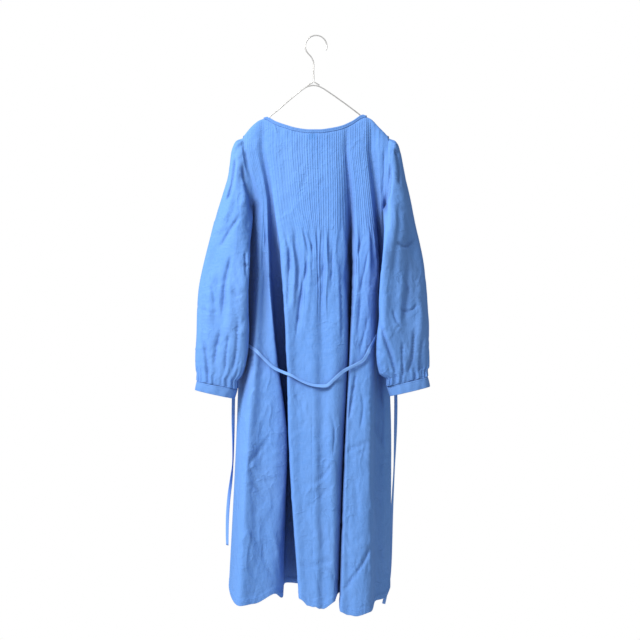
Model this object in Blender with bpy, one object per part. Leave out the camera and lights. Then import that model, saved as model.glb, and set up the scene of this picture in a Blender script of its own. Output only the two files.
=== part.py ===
"""A long shirt dress of thin blue cloth, hung by its shoulders on a plain wire hanger.

The origin is the inside of the hook's top, where it bears on what holds it.  Z is up, X runs
across the shoulders and Y goes from the back of the dress, which faces -Y, to its buttoned front.
The body is one closed loop of named fold lines at each height.  The back and the two fronts are
stretches of that loop, so their seams meet, and each is a wall of cloth with an inner and an
outer face.
"""

import math

import bpy
import numpy as np

MM = 0.001

# Cloth and seams, in millimetres
CLOTH = 1.2
SEAM_GAP = 0.3
ROLL_STANDS = (SEAM_GAP / 2, 2.0, 2.8)
TUCK_HEIGHT = 1.1
TUCK_END = -480.0
TUCK_FADE = 40.0
TUCK_TOP_START = 3.0
TUCK_TOP_FADE = 6.0
SEAM_FADE_COLUMNS = 3.0
WAVE_HEIGHT = 3.0
WAVE_COLUMNS = 6.0
WAVE_START = -420.0
WAVE_START_FADE = 90.0
WAVE_END = -640.0
WAVE_END_FADE = 120.0
WAVE_PHASE = 0.4

# Heights of the sections that the fold lines are drawn at
STATIONS = (-272.0, -400.0, -530.0, -716.0, -966.0, -1310.0)

# The back's fold lines, left to right: name, columns of cloth up to the next line, hem height,
# then the place across (x) and the depth (y) at each station
BACK_LINES = (
    ("side_left", 4, -1284, (-170, -149, -166, -180, -189, -206), (0, 0, 10, 22, 25, 20)),
    ("left_outer", 3, -1305, (-157, -126, -130, -138, -155, -171), (-14, -22, -30, -46, -62, -80)),
    ("left_hollow", 3, -1321, (-147, -119, -116, -120, -132, -140), (-14, -21, -26, -52, -72, -96)),
    ("left_edge", 2, -1306, (-138, -114, -105, -93, -67, -90), (-14, -26, -44, -64, -84, -102)),
    ("left_turn", 3, -1300, (-133, -112, -104, -92, -65, -71), (-14, -22, -28, -34, -60, -86)),
    ("gap_one_left", 2, -1293, (-129, -110, -101, -91, -67, -64), (-13, -17, -4, 12, 16, 12)),
    ("gap_one_right", 4, -1295, (-122, -103, -91, -76, -60, -45), (-13, -18, -4, 12, 16, 12)),
    ("middle_left", 9, -1293, (-112, -96, -83, -67, -56, -33), (-15, -28, -50, -70, -90, -112)),
    ("crease_one", 9, -1315, (-72, -62, -34, -46, -34, -18), (-17, -31, -47, -64, -90, -114)),
    ("middle_crest", 12, -1319, (-38, -28, -9, -13, -9, -2), (-18, -33, -53, -75, -96, -118)),
    ("crease_two", 11, -1320, (9, 12, 14, 15, 14, 16), (-17, -32, -47, -69, -89, -112)),
    ("middle_right", 4, -1297, (49, 53, 51, 54, 45, 41), (-16, -30, -50, -72, -92, -112)),
    ("gap_two_slope", 3, -1292, (63, 66, 70, 74, 58, 44), (-15, -22, -14, -6, -25, -45)),
    ("gap_two_floor", 4, -1295, (72, 75, 82, 80, 66, 50), (-14, -17, 2, 12, 12, 5)),
    ("right_left", 5, -1314, (86, 87, 91, 83, 70, 57), (-15, -27, -45, -64, -86, -112)),
    ("right_crease", 4, -1336, (104, 99, 104, 99, 78, 74), (-15, -26, -41, -54, -82, -112)),
    ("right_crest", 5, -1341, (120, 114, 118, 115, 97, 91), (-15, -27, -46, -62, -88, -118)),
    ("right_right", 3, -1298, (138, 132, 132, 129, 124, 122), (-15, -23, -34, -50, -72, -92)),
    ("side_hollow", 3, -1290, (149, 145, 143, 141, 140, 138), (-14, -13, 0, 4, -14, -44)),
    ("side_crest", 3, -1283, (159, 155, 152, 156, 162, 160), (-14, -12, 0, 6, 4, -14)),
    ("side_right", 0, -1281, (168, 165, 166, 171, 179, 176), (0, 0, 10, 22, 28, 24)),
)

# The two fronts' fold lines, which go on round from the right side seam to the left one
FRONT_LINES = (
    ("side_right", 3, -1281, (168, 165, 166, 171, 179, 176), (0, 0, 10, 22, 28, 24)),
    ("right_outer", 4, -1292, (150, 144, 145, 149, 154, 150), (14, 18, 30, 46, 66, 86)),
    ("right_pleat", 4, -1286, (124, 118, 116, 118, 118, 114), (14, 22, 27, 38, 48, 56)),
    ("right_front", 4, -1298, (90, 84, 82, 82, 82, 76), (14, 24, 36, 58, 76, 98)),
    ("right_dip", 4, -1292, (48, 46, 44, 42, 40, 38), (15, 25, 31, 42, 50, 58)),
    ("right_placket", 2, -1300, (12, 12, 12, 11, 10, 8), (15, 26, 38, 58, 77, 96)),
    ("centre_front", 2, -1300, (-2, -2, -2, -3, -4, -6), (15.5, 27, 39.5, 60, 79.5, 98.5)),
    ("left_placket", 4, -1300, (-16, -16, -16, -17, -18, -20), (15, 26, 38, 58, 77, 96)),
    ("left_dip", 4, -1292, (-52, -50, -48, -48, -50, -52), (15, 25, 31, 42, 50, 58)),
    ("left_front", 4, -1300, (-94, -86, -88, -90, -94, -98), (14, 24, 36, 58, 76, 98)),
    ("left_pleat", 4, -1288, (-128, -110, -116, -124, -130, -140), (14, 22, 27, 38, 48, 56)),
    ("left_far", 3, -1294, (-153, -130, -146, -154, -162, -176), (14, 18, 30, 46, 66, 84)),
    ("side_left", 0, -1284, (-170, -149, -166, -180, -189, -206), (0, 0, 10, 22, 25, 20)),
)

# Lines whose cloth carries the released waves below the tucks
WAVED = (
    "left_outer", "middle_left", "crease_one", "middle_crest", "crease_two", "right_left",
    "right_crease",
)

# The panels' top edges: place across, height, and how far the edge stands from the middle plane.
# The shoulder rows roll over the wire and the neck rows stand up.
BACK_TOP = (
    (-173, -240, 2.8), (-164, -228, 2.8), (-152, -214, 2.8), (-142, -205, 2.8), (-133, -199, 2.8),
    (-121, -195.6, 2.8), (-94, -209, 8), (-70, -218, 12), (-46, -225, 14), (-16, -229, 15),
    (8, -229, 15), (32, -226, 14), (59, -220, 12), (83, -209, 8), (115, -191, 2.8),
    (129, -196, 2.8), (146, -213, 2.8), (160, -227, 2.8), (173, -241, 2.8),
)
FRONT_TOP = (
    (-173, -240, 2.8), (-164, -228, 2.8), (-152, -214, 2.8), (-142, -205, 2.8), (-133, -199, 2.8),
    (-121, -195.6, 2.8), (-108, -216, 6), (-92, -240, 10), (-70, -262, 13), (-40, -278, 15),
    (-2, -284, 15), (36, -278, 15), (64, -260, 13), (86, -237, 10), (103, -212, 6),
    (115, -191, 2.8), (129, -196, 2.8), (146, -213, 2.8), (160, -227, 2.8), (173, -241, 2.8),
)
NECK_LEFT = -121.0
NECK_RIGHT = 117.0

# Rows of cloth down a panel: the first ones are drops from the top edge in millimetres, the rest
# are shares of what is left, and one of them falls on the underarm
EDGE_DROPS = (0.0, 1.0, 2.8)
ROWS = (0.015, 0.045, 0.08, 0.115, 0.148, 0.18, 0.215, 0.26, 0.32, 0.40, 0.50, 0.61, 0.74, 0.87, 1.0)

# Armholes: x along the edge from the shoulder tip to the underarm, and half the opening's depth
UNDERARM = -397.0
ARMHOLE_DEPTH = 16.0
ARMHOLE_GAP = 1.4
SIDE_TURN_FADE = 40.0
SHOULDER_CURVE = 0.7
ARMHOLES = {
    "left": ((-240, -172), (-272, -170), (-297, -167), (-345, -156), (-368, -151), (-397, -149)),
    "right": ((-241, 172), (-272, 169), (-296, 168), (-345, 166), (-368, 165), (-397, 165)),
}

# Sleeve sections from the shoulder down: outer point, inner point, depth of the middle, half depth
SLEEVES = {
    "left": (
        ((-186, -250), (-153.5, -402), -2, 19),
        ((-196, -275), (-156, -413), -5, 22),
        ((-204, -323), (-157, -431), -10, 27),
        ((-221, -379), (-157, -458), -18, 31),
        ((-238, -437), (-157, -493), -26, 34),
        ((-248, -485), (-157, -525), -31, 36),
        ((-257, -528), (-159, -556), -35, 37),
        ((-271, -600), (-161, -616), -40, 38),
        ((-276, -650), (-161, -662), -42, 38),
        ((-279, -698), (-162, -706), -43, 38),
        ((-282, -751), (-166, -757), -44, 34),
        ((-279, -785), (-174, -795), -44, 27),
    ),
    "right": (
        ((185, -250), (169.5, -402), -2, 19),
        ((195, -270), (171.5, -413), -5, 22),
        ((209, -325), (170, -431), -10, 26),
        ((223, -379), (167, -458), -18, 30),
        ((235, -442), (164, -489), -27, 33),
        ((243, -487), (160, -525), -33, 36),
        ((249, -528), (155, -560), -38, 37),
        ((256, -600), (149, -623), -43, 38),
        ((260, -645), (146, -665), -45, 38),
        ((264, -686), (144, -706), -47, 38),
        ((265, -740), (144, -744), -47, 34),
        ((263, -779), (151, -792), -46, 27),
    ),
}
CUFFS = {
    "left": {"top": ((-276, -812), (-182, -830)), "foot": ((-280, -832), (-189, -852)), "depth": -44.0},
    "right": {"top": ((259, -802), (164, -823)), "foot": ((264, -824), (172, -846)), "depth": -46.0},
}
CUFF_HALF_DEPTH = 20.0
CUFF_WALL = 2.0
SLEEVE_POINTS = 32
CAP_PLEATS = (0.8, 1.8, 1.4, 0.8, 0, 0, 0, 0, 0, 0, 0, 0)
# Gathers above a cuff: height over its top, spread beyond its half depth, and fold height
CUFF_GATHERS = ((18.0, 4.0, 0.9), (8.0, 2.0, 1.3), (0.5, 0.0, 0.5))

# Neck binding, label, placket and buttons
BINDING_WALL = 2.0
BINDING_HEIGHT = 6.6
BINDING_TURN = 1.6
LABEL_SIZE = (20.0, 13.0)
LABEL_PLACE = (-8.0, -240.0)
LABEL_THICKNESS = 0.8
BUTTON_RADIUS = 5.5
BUTTON_THICKNESS = 2.2
BUTTON_SIDES = 10
BUTTON_PROFILE = ((0.86, 0.0), (1.0, 0.4), (0.9, 1.0), (0.68, 0.8))
BUTTON_HEIGHTS = tuple(range(-304, -1200, -105))

# Belt: a flat tie through two side loops, across the back, with two hanging ends
BELT_WIDTH = 9.0
BELT_THICKNESS = 1.0
BELT_CLEARANCE = 2.0
BELT_REACH = 14.0
BELT_SPAN = (
    (-136, -742), (-118, -760), (-97, -779), (-78, -788), (-56, -796), (-34, -808), (-11, -817),
    (12, -820), (26, -819), (40, -807), (54, -794), (66, -785), (80, -778), (94, -771), (108, -763),
    (118, -748), (127, -729),
)
BELT_ROUND_SIDE = ((2, -719.0), (3, -729.0))
# The hanging ends: place across, depth, height and turn of the strip in degrees
BELT_LEFT_END = (
    (-185, 14, -724, 113), (-189, 16, -742, 95), (-192, 16, -766, 60), (-194, 16, -800, 25),
    (-196, 18, -850, 0), (-197, 20, -905, 20), (-197, 22, -960, 55), (-198, 22, -1010, 70),
    (-202, 22, -1050, 40), (-207, 20, -1090, 5), (-210, 18, -1130, -10), (-211, 18, -1170, -25),
    (-211, 20, -1205, -40),
)
BELT_RIGHT_END = (
    (176, 20, -682, 54), (180, 22, -700, 50), (184, 24, -730, 40), (187, 28, -765, 20),
    (189, 34, -810, 0), (191, 40, -860, -10), (191, 46, -915, 10), (190, 52, -970, 40),
    (188, 56, -1030, 60), (185, 58, -1090, 50), (182, 58, -1150, 30), (180, 58, -1210, 15),
    (178, 58, -1260, 5), (175, 58, -1295, 0), (169, 58, -1326, 0), (163, 58, -1354, 0),
)

# Side loops that hold the belt: column of the back, height, and the loop's own sizes
LOOPS = (("belt_loop_left", 1, -712.0), ("belt_loop_right", -2, -668.0))
LOOP_WALL = 1.0
LOOP_WIDTH = 3.0
LOOP_REACH = 4.2
LOOP_SPAN = 12.5
LOOP_BELT_OFFSET = 2.1
LOOP_RUN = 6.0

# Hanger wire
WIRE_RADIUS = 1.5
WIRE_SIDES = 8
WIRE_BELOW_SHOULDER = 4.4
BOW_MIDDLE = (
    (-106, -187), (-92, -176), (-60, -148.5), (-24, -121), (-14, -117.5), (-6, -116.5),
    (2, -117.5), (12, -121), (54, -149), (88, -174), (101, -184), (112, -193),
)
ARM_LEFT = (-164, -156, -146, -136, -127, -118)
ARM_RIGHT = (121, 130, 140, 150, 158, 164)
HOOK_INNER_RADIUS = 24.0
HOOK_ARC = range(-20, 226, 15)
HOOK_STEM_X = -6.0
HOOK_NECK = ((-5.0, -50.0), (0.0, -62.0), (0.0, -84.0))
HOOK_JOIN = -106.0
LEG_BEND = (-3.0, -4.0)
LEG_FOOT = (-13.5, -9.7)
LEG_START = (2.4, -2.8)

COLOURS = {
    "cloth": ((0.115, 0.27, 0.70, 1.0), 0.85, 0.0),
    "trim": ((0.15, 0.32, 0.76, 1.0), 0.8, 0.0),
    "belt": ((0.14, 0.31, 0.76, 1.0), 0.8, 0.0),
    "button": ((0.20, 0.36, 0.74, 1.0), 0.35, 0.0),
    "wire": ((0.62, 0.63, 0.65, 1.0), 0.3, 1.0),
}


def clear_scene():
    """Remove what the scene already holds."""
    for thing in list(bpy.data.objects):
        bpy.data.objects.remove(thing, do_unlink=True)


def material(name):
    """Return the named material, made on its first use."""
    made = bpy.data.materials.get(name)
    if made is None:
        colour, roughness, metallic = COLOURS[name]
        made = bpy.data.materials.new(name)
        made.use_nodes = True
        shader = made.node_tree.nodes["Principled BSDF"]
        shader.inputs["Base Color"].default_value = colour
        shader.inputs["Roughness"].default_value = roughness
        shader.inputs["Metallic"].default_value = metallic
    return made


def enclosed_volume(corners, faces):
    """Return the volume inside closed faces, negative where they all point inwards."""
    total = 0.0
    for face in faces:
        for second, third in zip(face[1:-1], face[2:]):
            total += np.dot(corners[face[0]], np.cross(corners[second], corners[third]))
    return total / 6.0


def add_mesh(name, points, faces, finish, smooth=True):
    """Make an object from points in millimetres and closed faces.

    Args:
        name: the object's name.
        points: rows of x, y and z in millimetres.
        faces: tuples of point numbers.
        finish: the material's name.
        smooth: whether its faces are shaded smooth.
    """
    corners = np.asarray(points, float) * MM
    if enclosed_volume(corners, faces) < 0:
        faces = [tuple(reversed(face)) for face in faces]
    mesh = bpy.data.meshes.new(name)
    mesh.from_pydata([tuple(point) for point in corners.tolist()], [], faces)
    mesh.update()
    mesh.materials.append(material(finish))
    for face in mesh.polygons:
        face.use_smooth = smooth
    made = bpy.data.objects.new(name, mesh)
    bpy.context.scene.collection.objects.link(made)
    return made


def unit(values):
    """Return vectors scaled to a length of one."""
    return values / np.maximum(np.linalg.norm(values, axis=-1, keepdims=True), 1e-9)


def follow(places, values, at):
    """Read a smooth curve through a table that never swings past its own values.

    Args:
        places: rising or falling places along the curve.
        values: the value at each place.
        at: an array of places to read.

    Returns:
        The values there, held at the ends.
    """
    places = np.asarray(places, float)
    values = np.asarray(values, float)
    if places[0] > places[-1]:
        places, values = places[::-1], values[::-1]
    at = np.clip(np.asarray(at, float), places[0], places[-1])
    step = np.diff(places)
    slope = np.diff(values) / step
    tangent = np.zeros(len(places))
    tangent[0], tangent[-1] = slope[0], slope[-1]
    for i in range(1, len(places) - 1):
        before, after = slope[i - 1], slope[i]
        if before * after > 0:
            near, far = 2 * step[i] + step[i - 1], step[i] + 2 * step[i - 1]
            tangent[i] = (near + far) / (near / before + far / after)
    cell = np.clip(np.searchsorted(places, at, side="right") - 1, 0, len(step) - 1)
    t = (at - places[cell]) / step[cell]
    start, end = values[cell], values[cell + 1]
    rise_in, rise_out = tangent[cell] * step[cell], tangent[cell + 1] * step[cell]
    return (start * (2 * t ** 3 - 3 * t ** 2 + 1) + rise_in * (t ** 3 - 2 * t ** 2 + t)
            + end * (3 * t ** 2 - 2 * t ** 3) + rise_out * (t ** 3 - t ** 2))


def read_along(line, values, height):
    """Return the values at a height of a line of points that goes down."""
    return np.array([np.interp(-height, -line[:, 2], values[:, k]) for k in range(values.shape[1])])


def spline_between(before, start, end, after, share):
    """Read a rounded curve between two points, given the point on each side of them.

    The four points are arrays whose last axis is x and y, and share runs from 0 to 1.
    """
    def knot(one, two):
        return np.sqrt(np.maximum(np.linalg.norm(two - one, axis=-1, keepdims=True), 1e-6))

    first, second, third = knot(before, start), knot(start, end), knot(end, after)
    leave = (start - before) / first - (end - before) / (first + second) + (end - start) / second
    arrive = (end - start) / second - (after - start) / (second + third) + (after - end) / third
    leave, arrive = leave * second, arrive * second
    t = share
    return (start * (2 * t ** 3 - 3 * t ** 2 + 1) + leave * (t ** 3 - 2 * t ** 2 + t)
            + end * (3 * t ** 2 - 2 * t ** 3) + arrive * (t ** 3 - t ** 2))


def steps_along(grid, axis, closed=False):
    """Return each point's direction along one axis, halfway between its two steps."""
    ahead = unit(np.roll(grid, -1, axis=axis) - grid)
    behind = np.roll(ahead, 1, axis=axis)
    if not closed:
        first = [slice(None)] * grid.ndim
        last = [slice(None)] * grid.ndim
        first[axis], last[axis] = 0, -1
        behind[tuple(first)] = ahead[tuple(first)]
        ahead[tuple(last)] = behind[tuple(last)]
    return unit(ahead + behind)


def face_normals(grid, closed=False):
    """Return the cloth's unit normals on a grid of columns and rows."""
    return unit(np.cross(steps_along(grid, 1), steps_along(grid, 0, closed)))


def armhole_point(side, height, face):
    """Place a point of an armhole's edge.

    Args:
        side: "left" or "right".
        height: its height, from the shoulder tip down to the underarm.
        face: -1 on the back's edge and 1 on the front's.
    """
    table = ARMHOLES[side]
    across = float(follow([row[0] for row in table], [row[1] for row in table], height))
    share = min(max((table[0][0] - height) / (table[0][0] - UNDERARM), 0.0), 1.0)
    return np.array([across, face * ARMHOLE_DEPTH * 2.0 * math.sqrt(share * (1.0 - share)), height])


class Body:
    """One side of the closed loop of fold lines: the back, or the two fronts together."""

    def __init__(self, lines, others, top, face):
        """Keep one side's lines with the neighbours that its seams run on into.

        Args:
            lines: this side's fold lines in order.
            others: the fold lines that follow round the loop.
            top: the top edge's table.
            face: -1 for the back and 1 for the front.
        """
        self.lines = lines
        self.others = others
        self.top = top
        self.face = face
        self.sides = ("left", "right") if face < 0 else ("right", "left")

    def line_at(self, line, heights):
        """Return one fold line's x and y at each height, on the armhole above the underarm."""
        across, depth = (follow(STATIONS, table, heights) for table in line[3:5])
        place = np.stack([across, depth], axis=-1)
        side = line[0].removeprefix("side_")
        if side in ARMHOLES:
            for row, height in enumerate(heights):
                if height > UNDERARM:
                    place[row] = armhole_point(side, height, self.face)[:2]
        return place

    def top_at(self, across):
        """Return the top edge's height and its distance from the middle plane."""
        xs = [row[0] for row in self.top]
        return (float(follow(xs, [row[1] for row in self.top], across)),
                float(follow(xs, [row[2] for row in self.top], across)))

    def section(self, cell, share, heights):
        """Return x and y of one column of cloth at each height, from the fold lines alone."""
        start = self.line_at(self.lines[cell], heights)
        end = self.line_at(self.lines[cell + 1], heights)
        if cell > 0:
            before = self.line_at(self.lines[cell - 1], heights)
        else:
            before = self.beyond(self.others[-2], start, end, heights)
        if cell + 2 < len(self.lines):
            after = self.line_at(self.lines[cell + 2], heights)
        else:
            after = self.beyond(self.others[1], end, start, heights)
        return spline_between(before, start, end, after, share)

    def beyond(self, line, edge, inner, heights):
        """Return the point past a side seam: round the side below the underarm, straight on above."""
        round_side = self.line_at(line, heights)
        straight = 2 * edge - inner
        below = np.clip((UNDERARM - np.asarray(heights, float)) / SIDE_TURN_FADE, 0.0, 1.0)[:, None]
        return straight * (1 - below) + round_side * below

    def heights(self, cell, share):
        """Return where a column starts across, and the heights of its rows."""
        across = float(self.section(cell, share, np.array([STATIONS[0]]))[0, 0])
        top, _ = self.top_at(across)
        turn = share * share * (3 - 2 * share)
        hem = self.lines[cell][2] * (1 - turn) + self.lines[cell + 1][2] * turn
        start = top - EDGE_DROPS[-1]
        rows = [top - drop for drop in EDGE_DROPS] + [start + (hem - start) * row for row in ROWS]
        return across, np.array(rows)

    def column(self, cell, share):
        """Return one column of the cloth's middle face, from its top edge to the hem."""
        across, heights = self.heights(cell, share)
        top, stand = self.top_at(across)
        place = self.section(cell, share, heights)
        yoke = self.section(cell, share, np.array([STATIONS[0]]))[0]
        start = top - EDGE_DROPS[-1]
        for row, height in enumerate(heights):
            if height > STATIONS[0]:
                drop = max(start - height, 0.0) / max(start - STATIONS[0], 1.0)
                place[row, 0] = yoke[0]
                edge = self.face * stand
                place[row, 1] = edge + (yoke[1] - edge) * drop ** SHOULDER_CURVE
        if not NECK_LEFT <= across <= NECK_RIGHT:
            place[:len(ROLL_STANDS), 1] = self.face * np.array(ROLL_STANDS)
        points = np.column_stack([place, heights])
        at_first = cell == 0 and share == 0.0
        at_last = cell == len(self.lines) - 2 and share == 1.0
        if at_first or at_last:
            side = self.sides[0] if at_first else self.sides[1]
            for row, height in enumerate(heights):
                if height > UNDERARM:
                    points[row] = armhole_point(side, height, self.face)
                    least = ROLL_STANDS[row] if row < len(ROLL_STANDS) else SEAM_GAP / 2
                    points[row, 1] = self.face * max(abs(points[row, 1]), least)
                else:
                    points[row, 1] += self.face * SEAM_GAP / 2
        return points

    def columns(self):
        """Return the cell and share of each column of cloth, and the column that each line is on."""
        picked, starts = [], {}
        for cell, line in enumerate(self.lines):
            starts[line[0]] = len(picked)
            picked += [(cell, step / line[1]) for step in range(line[1])]
        return picked + [(len(self.lines) - 2, 1.0)], starts

    def grid(self):
        """Return the middle face's points, its outward normals, and the column of each line."""
        picked, starts = self.columns()
        grid = np.array([self.column(cell, share) for cell, share in picked])
        return grid, self.normals(grid), starts

    def normals(self, grid):
        """Return the outward normals, with those on the seams shared by back and front."""
        normal = face_normals(grid)
        for column, mine, theirs, out in ((0, 1, -2, 1), (-1, -2, 1, -1)):
            heights = grid[column, :, 2]
            step = self.line_at(self.lines[mine], heights) - self.line_at(self.others[theirs], heights)
            shared = unit(np.column_stack([step[:, 1] * out, -step[:, 0] * out, np.zeros(len(heights))]))
            below = (heights < UNDERARM - 1.0)[:, None]
            normal[column] = np.where(below, shared, normal[column])
        along = steps_along(grid[:, 0] * (1, 0, 1), 0)
        upright = unit(np.column_stack([-along[:, 2], np.zeros(len(along)), along[:, 0]]))
        upright *= np.sign(upright[:, 2:])
        shoulder = ((grid[:, 0, 0] < NECK_LEFT) | (grid[:, 0, 0] > NECK_RIGHT))[:, None]
        normal[:, 0] = np.where(shoulder, upright, normal[:, 0])
        return normal


def grid_shell(name, inner, outer, finish, closed=False):
    """Make a wall between two grids of the same size, with its rims closed.

    Both faces are cut along the same diagonals, so a twisted wall keeps its thickness.

    Args:
        name: the object's name.
        inner: grid of columns and rows on the inside.
        outer: grid on the outside.
        finish: the material's name.
        closed: whether the columns run round into a tube.
    """
    columns, rows = inner.shape[:2]
    points = np.concatenate([outer.reshape(-1, 3), inner.reshape(-1, 3)])
    shift = columns * rows
    faces = []
    for first in range(columns if closed else columns - 1):
        a, b = first * rows, (first + 1) % columns * rows
        for row in range(rows - 1):
            for half in ((a + row, b + row, b + row + 1), (a + row, b + row + 1, a + row + 1)):
                faces.append(half)
                faces.append(tuple(shift + corner for corner in reversed(half)))
        faces.append((shift + a, shift + b, b, a))
        a, b = a + rows - 1, b + rows - 1
        faces.append((a, b, shift + b, shift + a))
    if not closed:
        last = (columns - 1) * rows
        for row in range(rows - 1):
            faces.append((row, row + 1, shift + row + 1, shift + row))
            faces.append((last + row + 1, last + row, shift + last + row, shift + last + row + 1))
    return add_mesh(name, points, faces, finish)


def build_back(body):
    """Make the back: folds, released waves, and fine tucks raised on its outer face.

    Returns:
        The middle face and the outer face.
    """
    grid, normal, starts = body.grid()
    count = len(grid)
    height = grid[..., 2]
    number = np.arange(count)[:, None]
    inside = np.clip((np.minimum(number, count - 1 - number) - 1) / SEAM_FADE_COLUMNS, 0.0, 1.0)
    waved = np.zeros((count, 1))
    for line in body.lines:
        if line[0] in WAVED:
            waved[starts[line[0]]:starts[line[0]] + line[1] + 1] = 1.0
    release = np.clip((WAVE_START - height) / WAVE_START_FADE, 0, 1)
    release = release * np.clip((height - WAVE_END) / WAVE_END_FADE, 0, 1) * inside * waved
    wave = WAVE_HEIGHT * np.sin(number * 2.0 * math.pi / WAVE_COLUMNS + WAVE_PHASE) * release
    grid = grid + normal * wave[..., None]
    normal = body.normals(grid)
    below_roll = np.clip((grid[:, :1, 2] - height - TUCK_TOP_START) / TUCK_TOP_FADE, 0, 1)
    fade = np.clip((height - TUCK_END) / TUCK_FADE, 0, 1) * below_roll * inside
    tuck = TUCK_HEIGHT * (number % 2) * fade
    outer = grid + normal * (CLOTH / 2 + tuck)[..., None]
    made = grid_shell("back", grid - normal * CLOTH / 2, outer, "cloth")
    for face in made.data.polygons:
        if face.center.z > TUCK_END * MM:
            face.use_smooth = False
    return grid, outer


def build_fronts(body):
    """Make the two fronts, the button strip over their meeting edges, and its buttons.

    Returns:
        The middle face of both fronts together.
    """
    grid, normal, starts = body.grid()
    centre = starts["centre_front"]
    halves = (("front_right", slice(0, centre + 1), -1), ("front_left", slice(centre, None), 0))
    for name, part, seam in halves:
        half, facing = grid[part].copy(), normal[part]
        outward = unit(half[seam] - half[1 if seam == 0 else -2])
        half[seam] -= outward * SEAM_GAP / 2
        grid_shell(name, half - facing * CLOTH / 2, half + facing * CLOTH / 2, "cloth")
    covered = slice(starts["right_placket"], starts["left_placket"] + 1)
    inner = grid[covered] + normal[covered] * (CLOTH / 2 + SEAM_GAP)
    outer = inner + normal[covered] * CLOTH
    grid_shell("placket", inner, outer, "trim")
    line = outer[centre - starts["right_placket"]]
    for number, height in enumerate(BUTTON_HEIGHTS):
        build_button(f"button_{number + 1}", read_along(line, line, height),
                     unit(read_along(line, normal[centre], height)))
    return grid


def build_button(name, at, out):
    """Make a plain round button with a raised rim, standing on the placket."""
    side = unit(np.cross(out, (0, 0, 1.0)))
    up = np.cross(side, out)
    base = at + out * SEAM_GAP
    points, faces = [], []
    for radius, rise in BUTTON_PROFILE:
        for step in range(BUTTON_SIDES):
            turn = 2 * math.pi * step / BUTTON_SIDES
            ray = side * math.cos(turn) + up * math.sin(turn)
            points.append(base + ray * BUTTON_RADIUS * radius + out * BUTTON_THICKNESS * rise)
    for ring in range(len(BUTTON_PROFILE) - 1):
        for step in range(BUTTON_SIDES):
            a, b = ring * BUTTON_SIDES + step, ring * BUTTON_SIDES + (step + 1) % BUTTON_SIDES
            faces.append((a, b, b + BUTTON_SIDES, a + BUTTON_SIDES))
    faces.append(tuple(reversed(range(BUTTON_SIDES))))
    faces.append(tuple((len(BUTTON_PROFILE) - 1) * BUTTON_SIDES + step for step in range(BUTTON_SIDES)))
    add_mesh(name, points, faces, "button")


def sleeve_ring(outer, inner, depth, half, gather=0.0, pleat=0.0):
    """Return one closed sleeve section, from its outer point round by the back to its inner one.

    Args:
        outer: x and z of the outer point.
        inner: x and z of the inner point.
        depth: y of the section's middle.
        half: half its depth.
        gather: height of the small folds all round.
        pleat: height of the small folds beside the outer point alone, over the shoulder.
    """
    ring = []
    middle = (outer[0] + inner[0]) / 2
    for step in range(SLEEVE_POINTS):
        turn = 2 * math.pi * step / SLEEVE_POINTS
        share = (1 - math.cos(turn)) / 2
        across = outer[0] + (inner[0] - outer[0]) * share
        height = outer[1] + (inner[1] - outer[1]) * share
        fold = gather + pleat * abs(math.sin(2 * turn)) * (math.cos(turn) > 0)
        swell = 1 + fold * (1 if step % 2 else -1) / half
        ring.append((middle + (across - middle) * (1 + swell) / 2,
                     depth - half * math.sin(turn) * swell, height))
    return np.array(ring)


def armhole_ring(side, back, front):
    """Return the sleeve's first section, which follows the panels' own armhole edges.

    Args:
        side: "left" or "right".
        back: the back's middle face.
        front: the fronts' middle face.
    """
    out = -1 if side == "left" else 1
    edges = (back[0], front[-1]) if side == "left" else (back[-1], front[0])
    top = edges[0][0, 2]
    ring = []
    for step in range(SLEEVE_POINTS):
        turn = 2 * math.pi * step / SLEEVE_POINTS
        height = top + (UNDERARM - top) * (1 - math.cos(turn)) / 2
        edge = edges[0] if step < SLEEVE_POINTS / 2 else edges[1]
        across, depth, _ = read_along(edge, edge, height)
        if step in (0, SLEEVE_POINTS // 2):
            depth = 0.0
        ring.append((across + out * ARMHOLE_GAP, depth, height))
    return np.array(ring)


def tube_shell(name, rings, wall, finish):
    """Make a wall round closed sections, given from the top down."""
    grid = np.array(rings).transpose(1, 0, 2)
    normal = face_normals(grid, closed=True)
    if np.sum(normal * (grid - grid.mean(axis=0, keepdims=True))) < 0:
        normal = -normal
    grid_shell(name, grid - normal * wall / 2, grid + normal * wall / 2, finish, closed=True)


def build_sleeve(side, back, front):
    """Make one sleeve, gathered above its cuff, and the cuff as its own band."""
    rings = [armhole_ring(side, back, front)]
    for (outer, inner, depth, half), pleat in zip(SLEEVES[side], CAP_PLEATS):
        rings.append(sleeve_ring(outer, inner, depth, half, pleat=pleat))
    cuff = CUFFS[side]
    for rise, spread, gather in CUFF_GATHERS:
        ends = [(x, z + rise) for x, z in cuff["top"]]
        rings.append(sleeve_ring(*ends, cuff["depth"], CUFF_HALF_DEPTH + spread, gather))
    tube_shell(f"sleeve_{side}", rings, CLOTH, "cloth")
    band = [sleeve_ring(*cuff[end], cuff["depth"], CUFF_HALF_DEPTH) for end in ("top", "foot")]
    tube_shell(f"cuff_{side}", band, CUFF_WALL, "trim")


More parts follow.
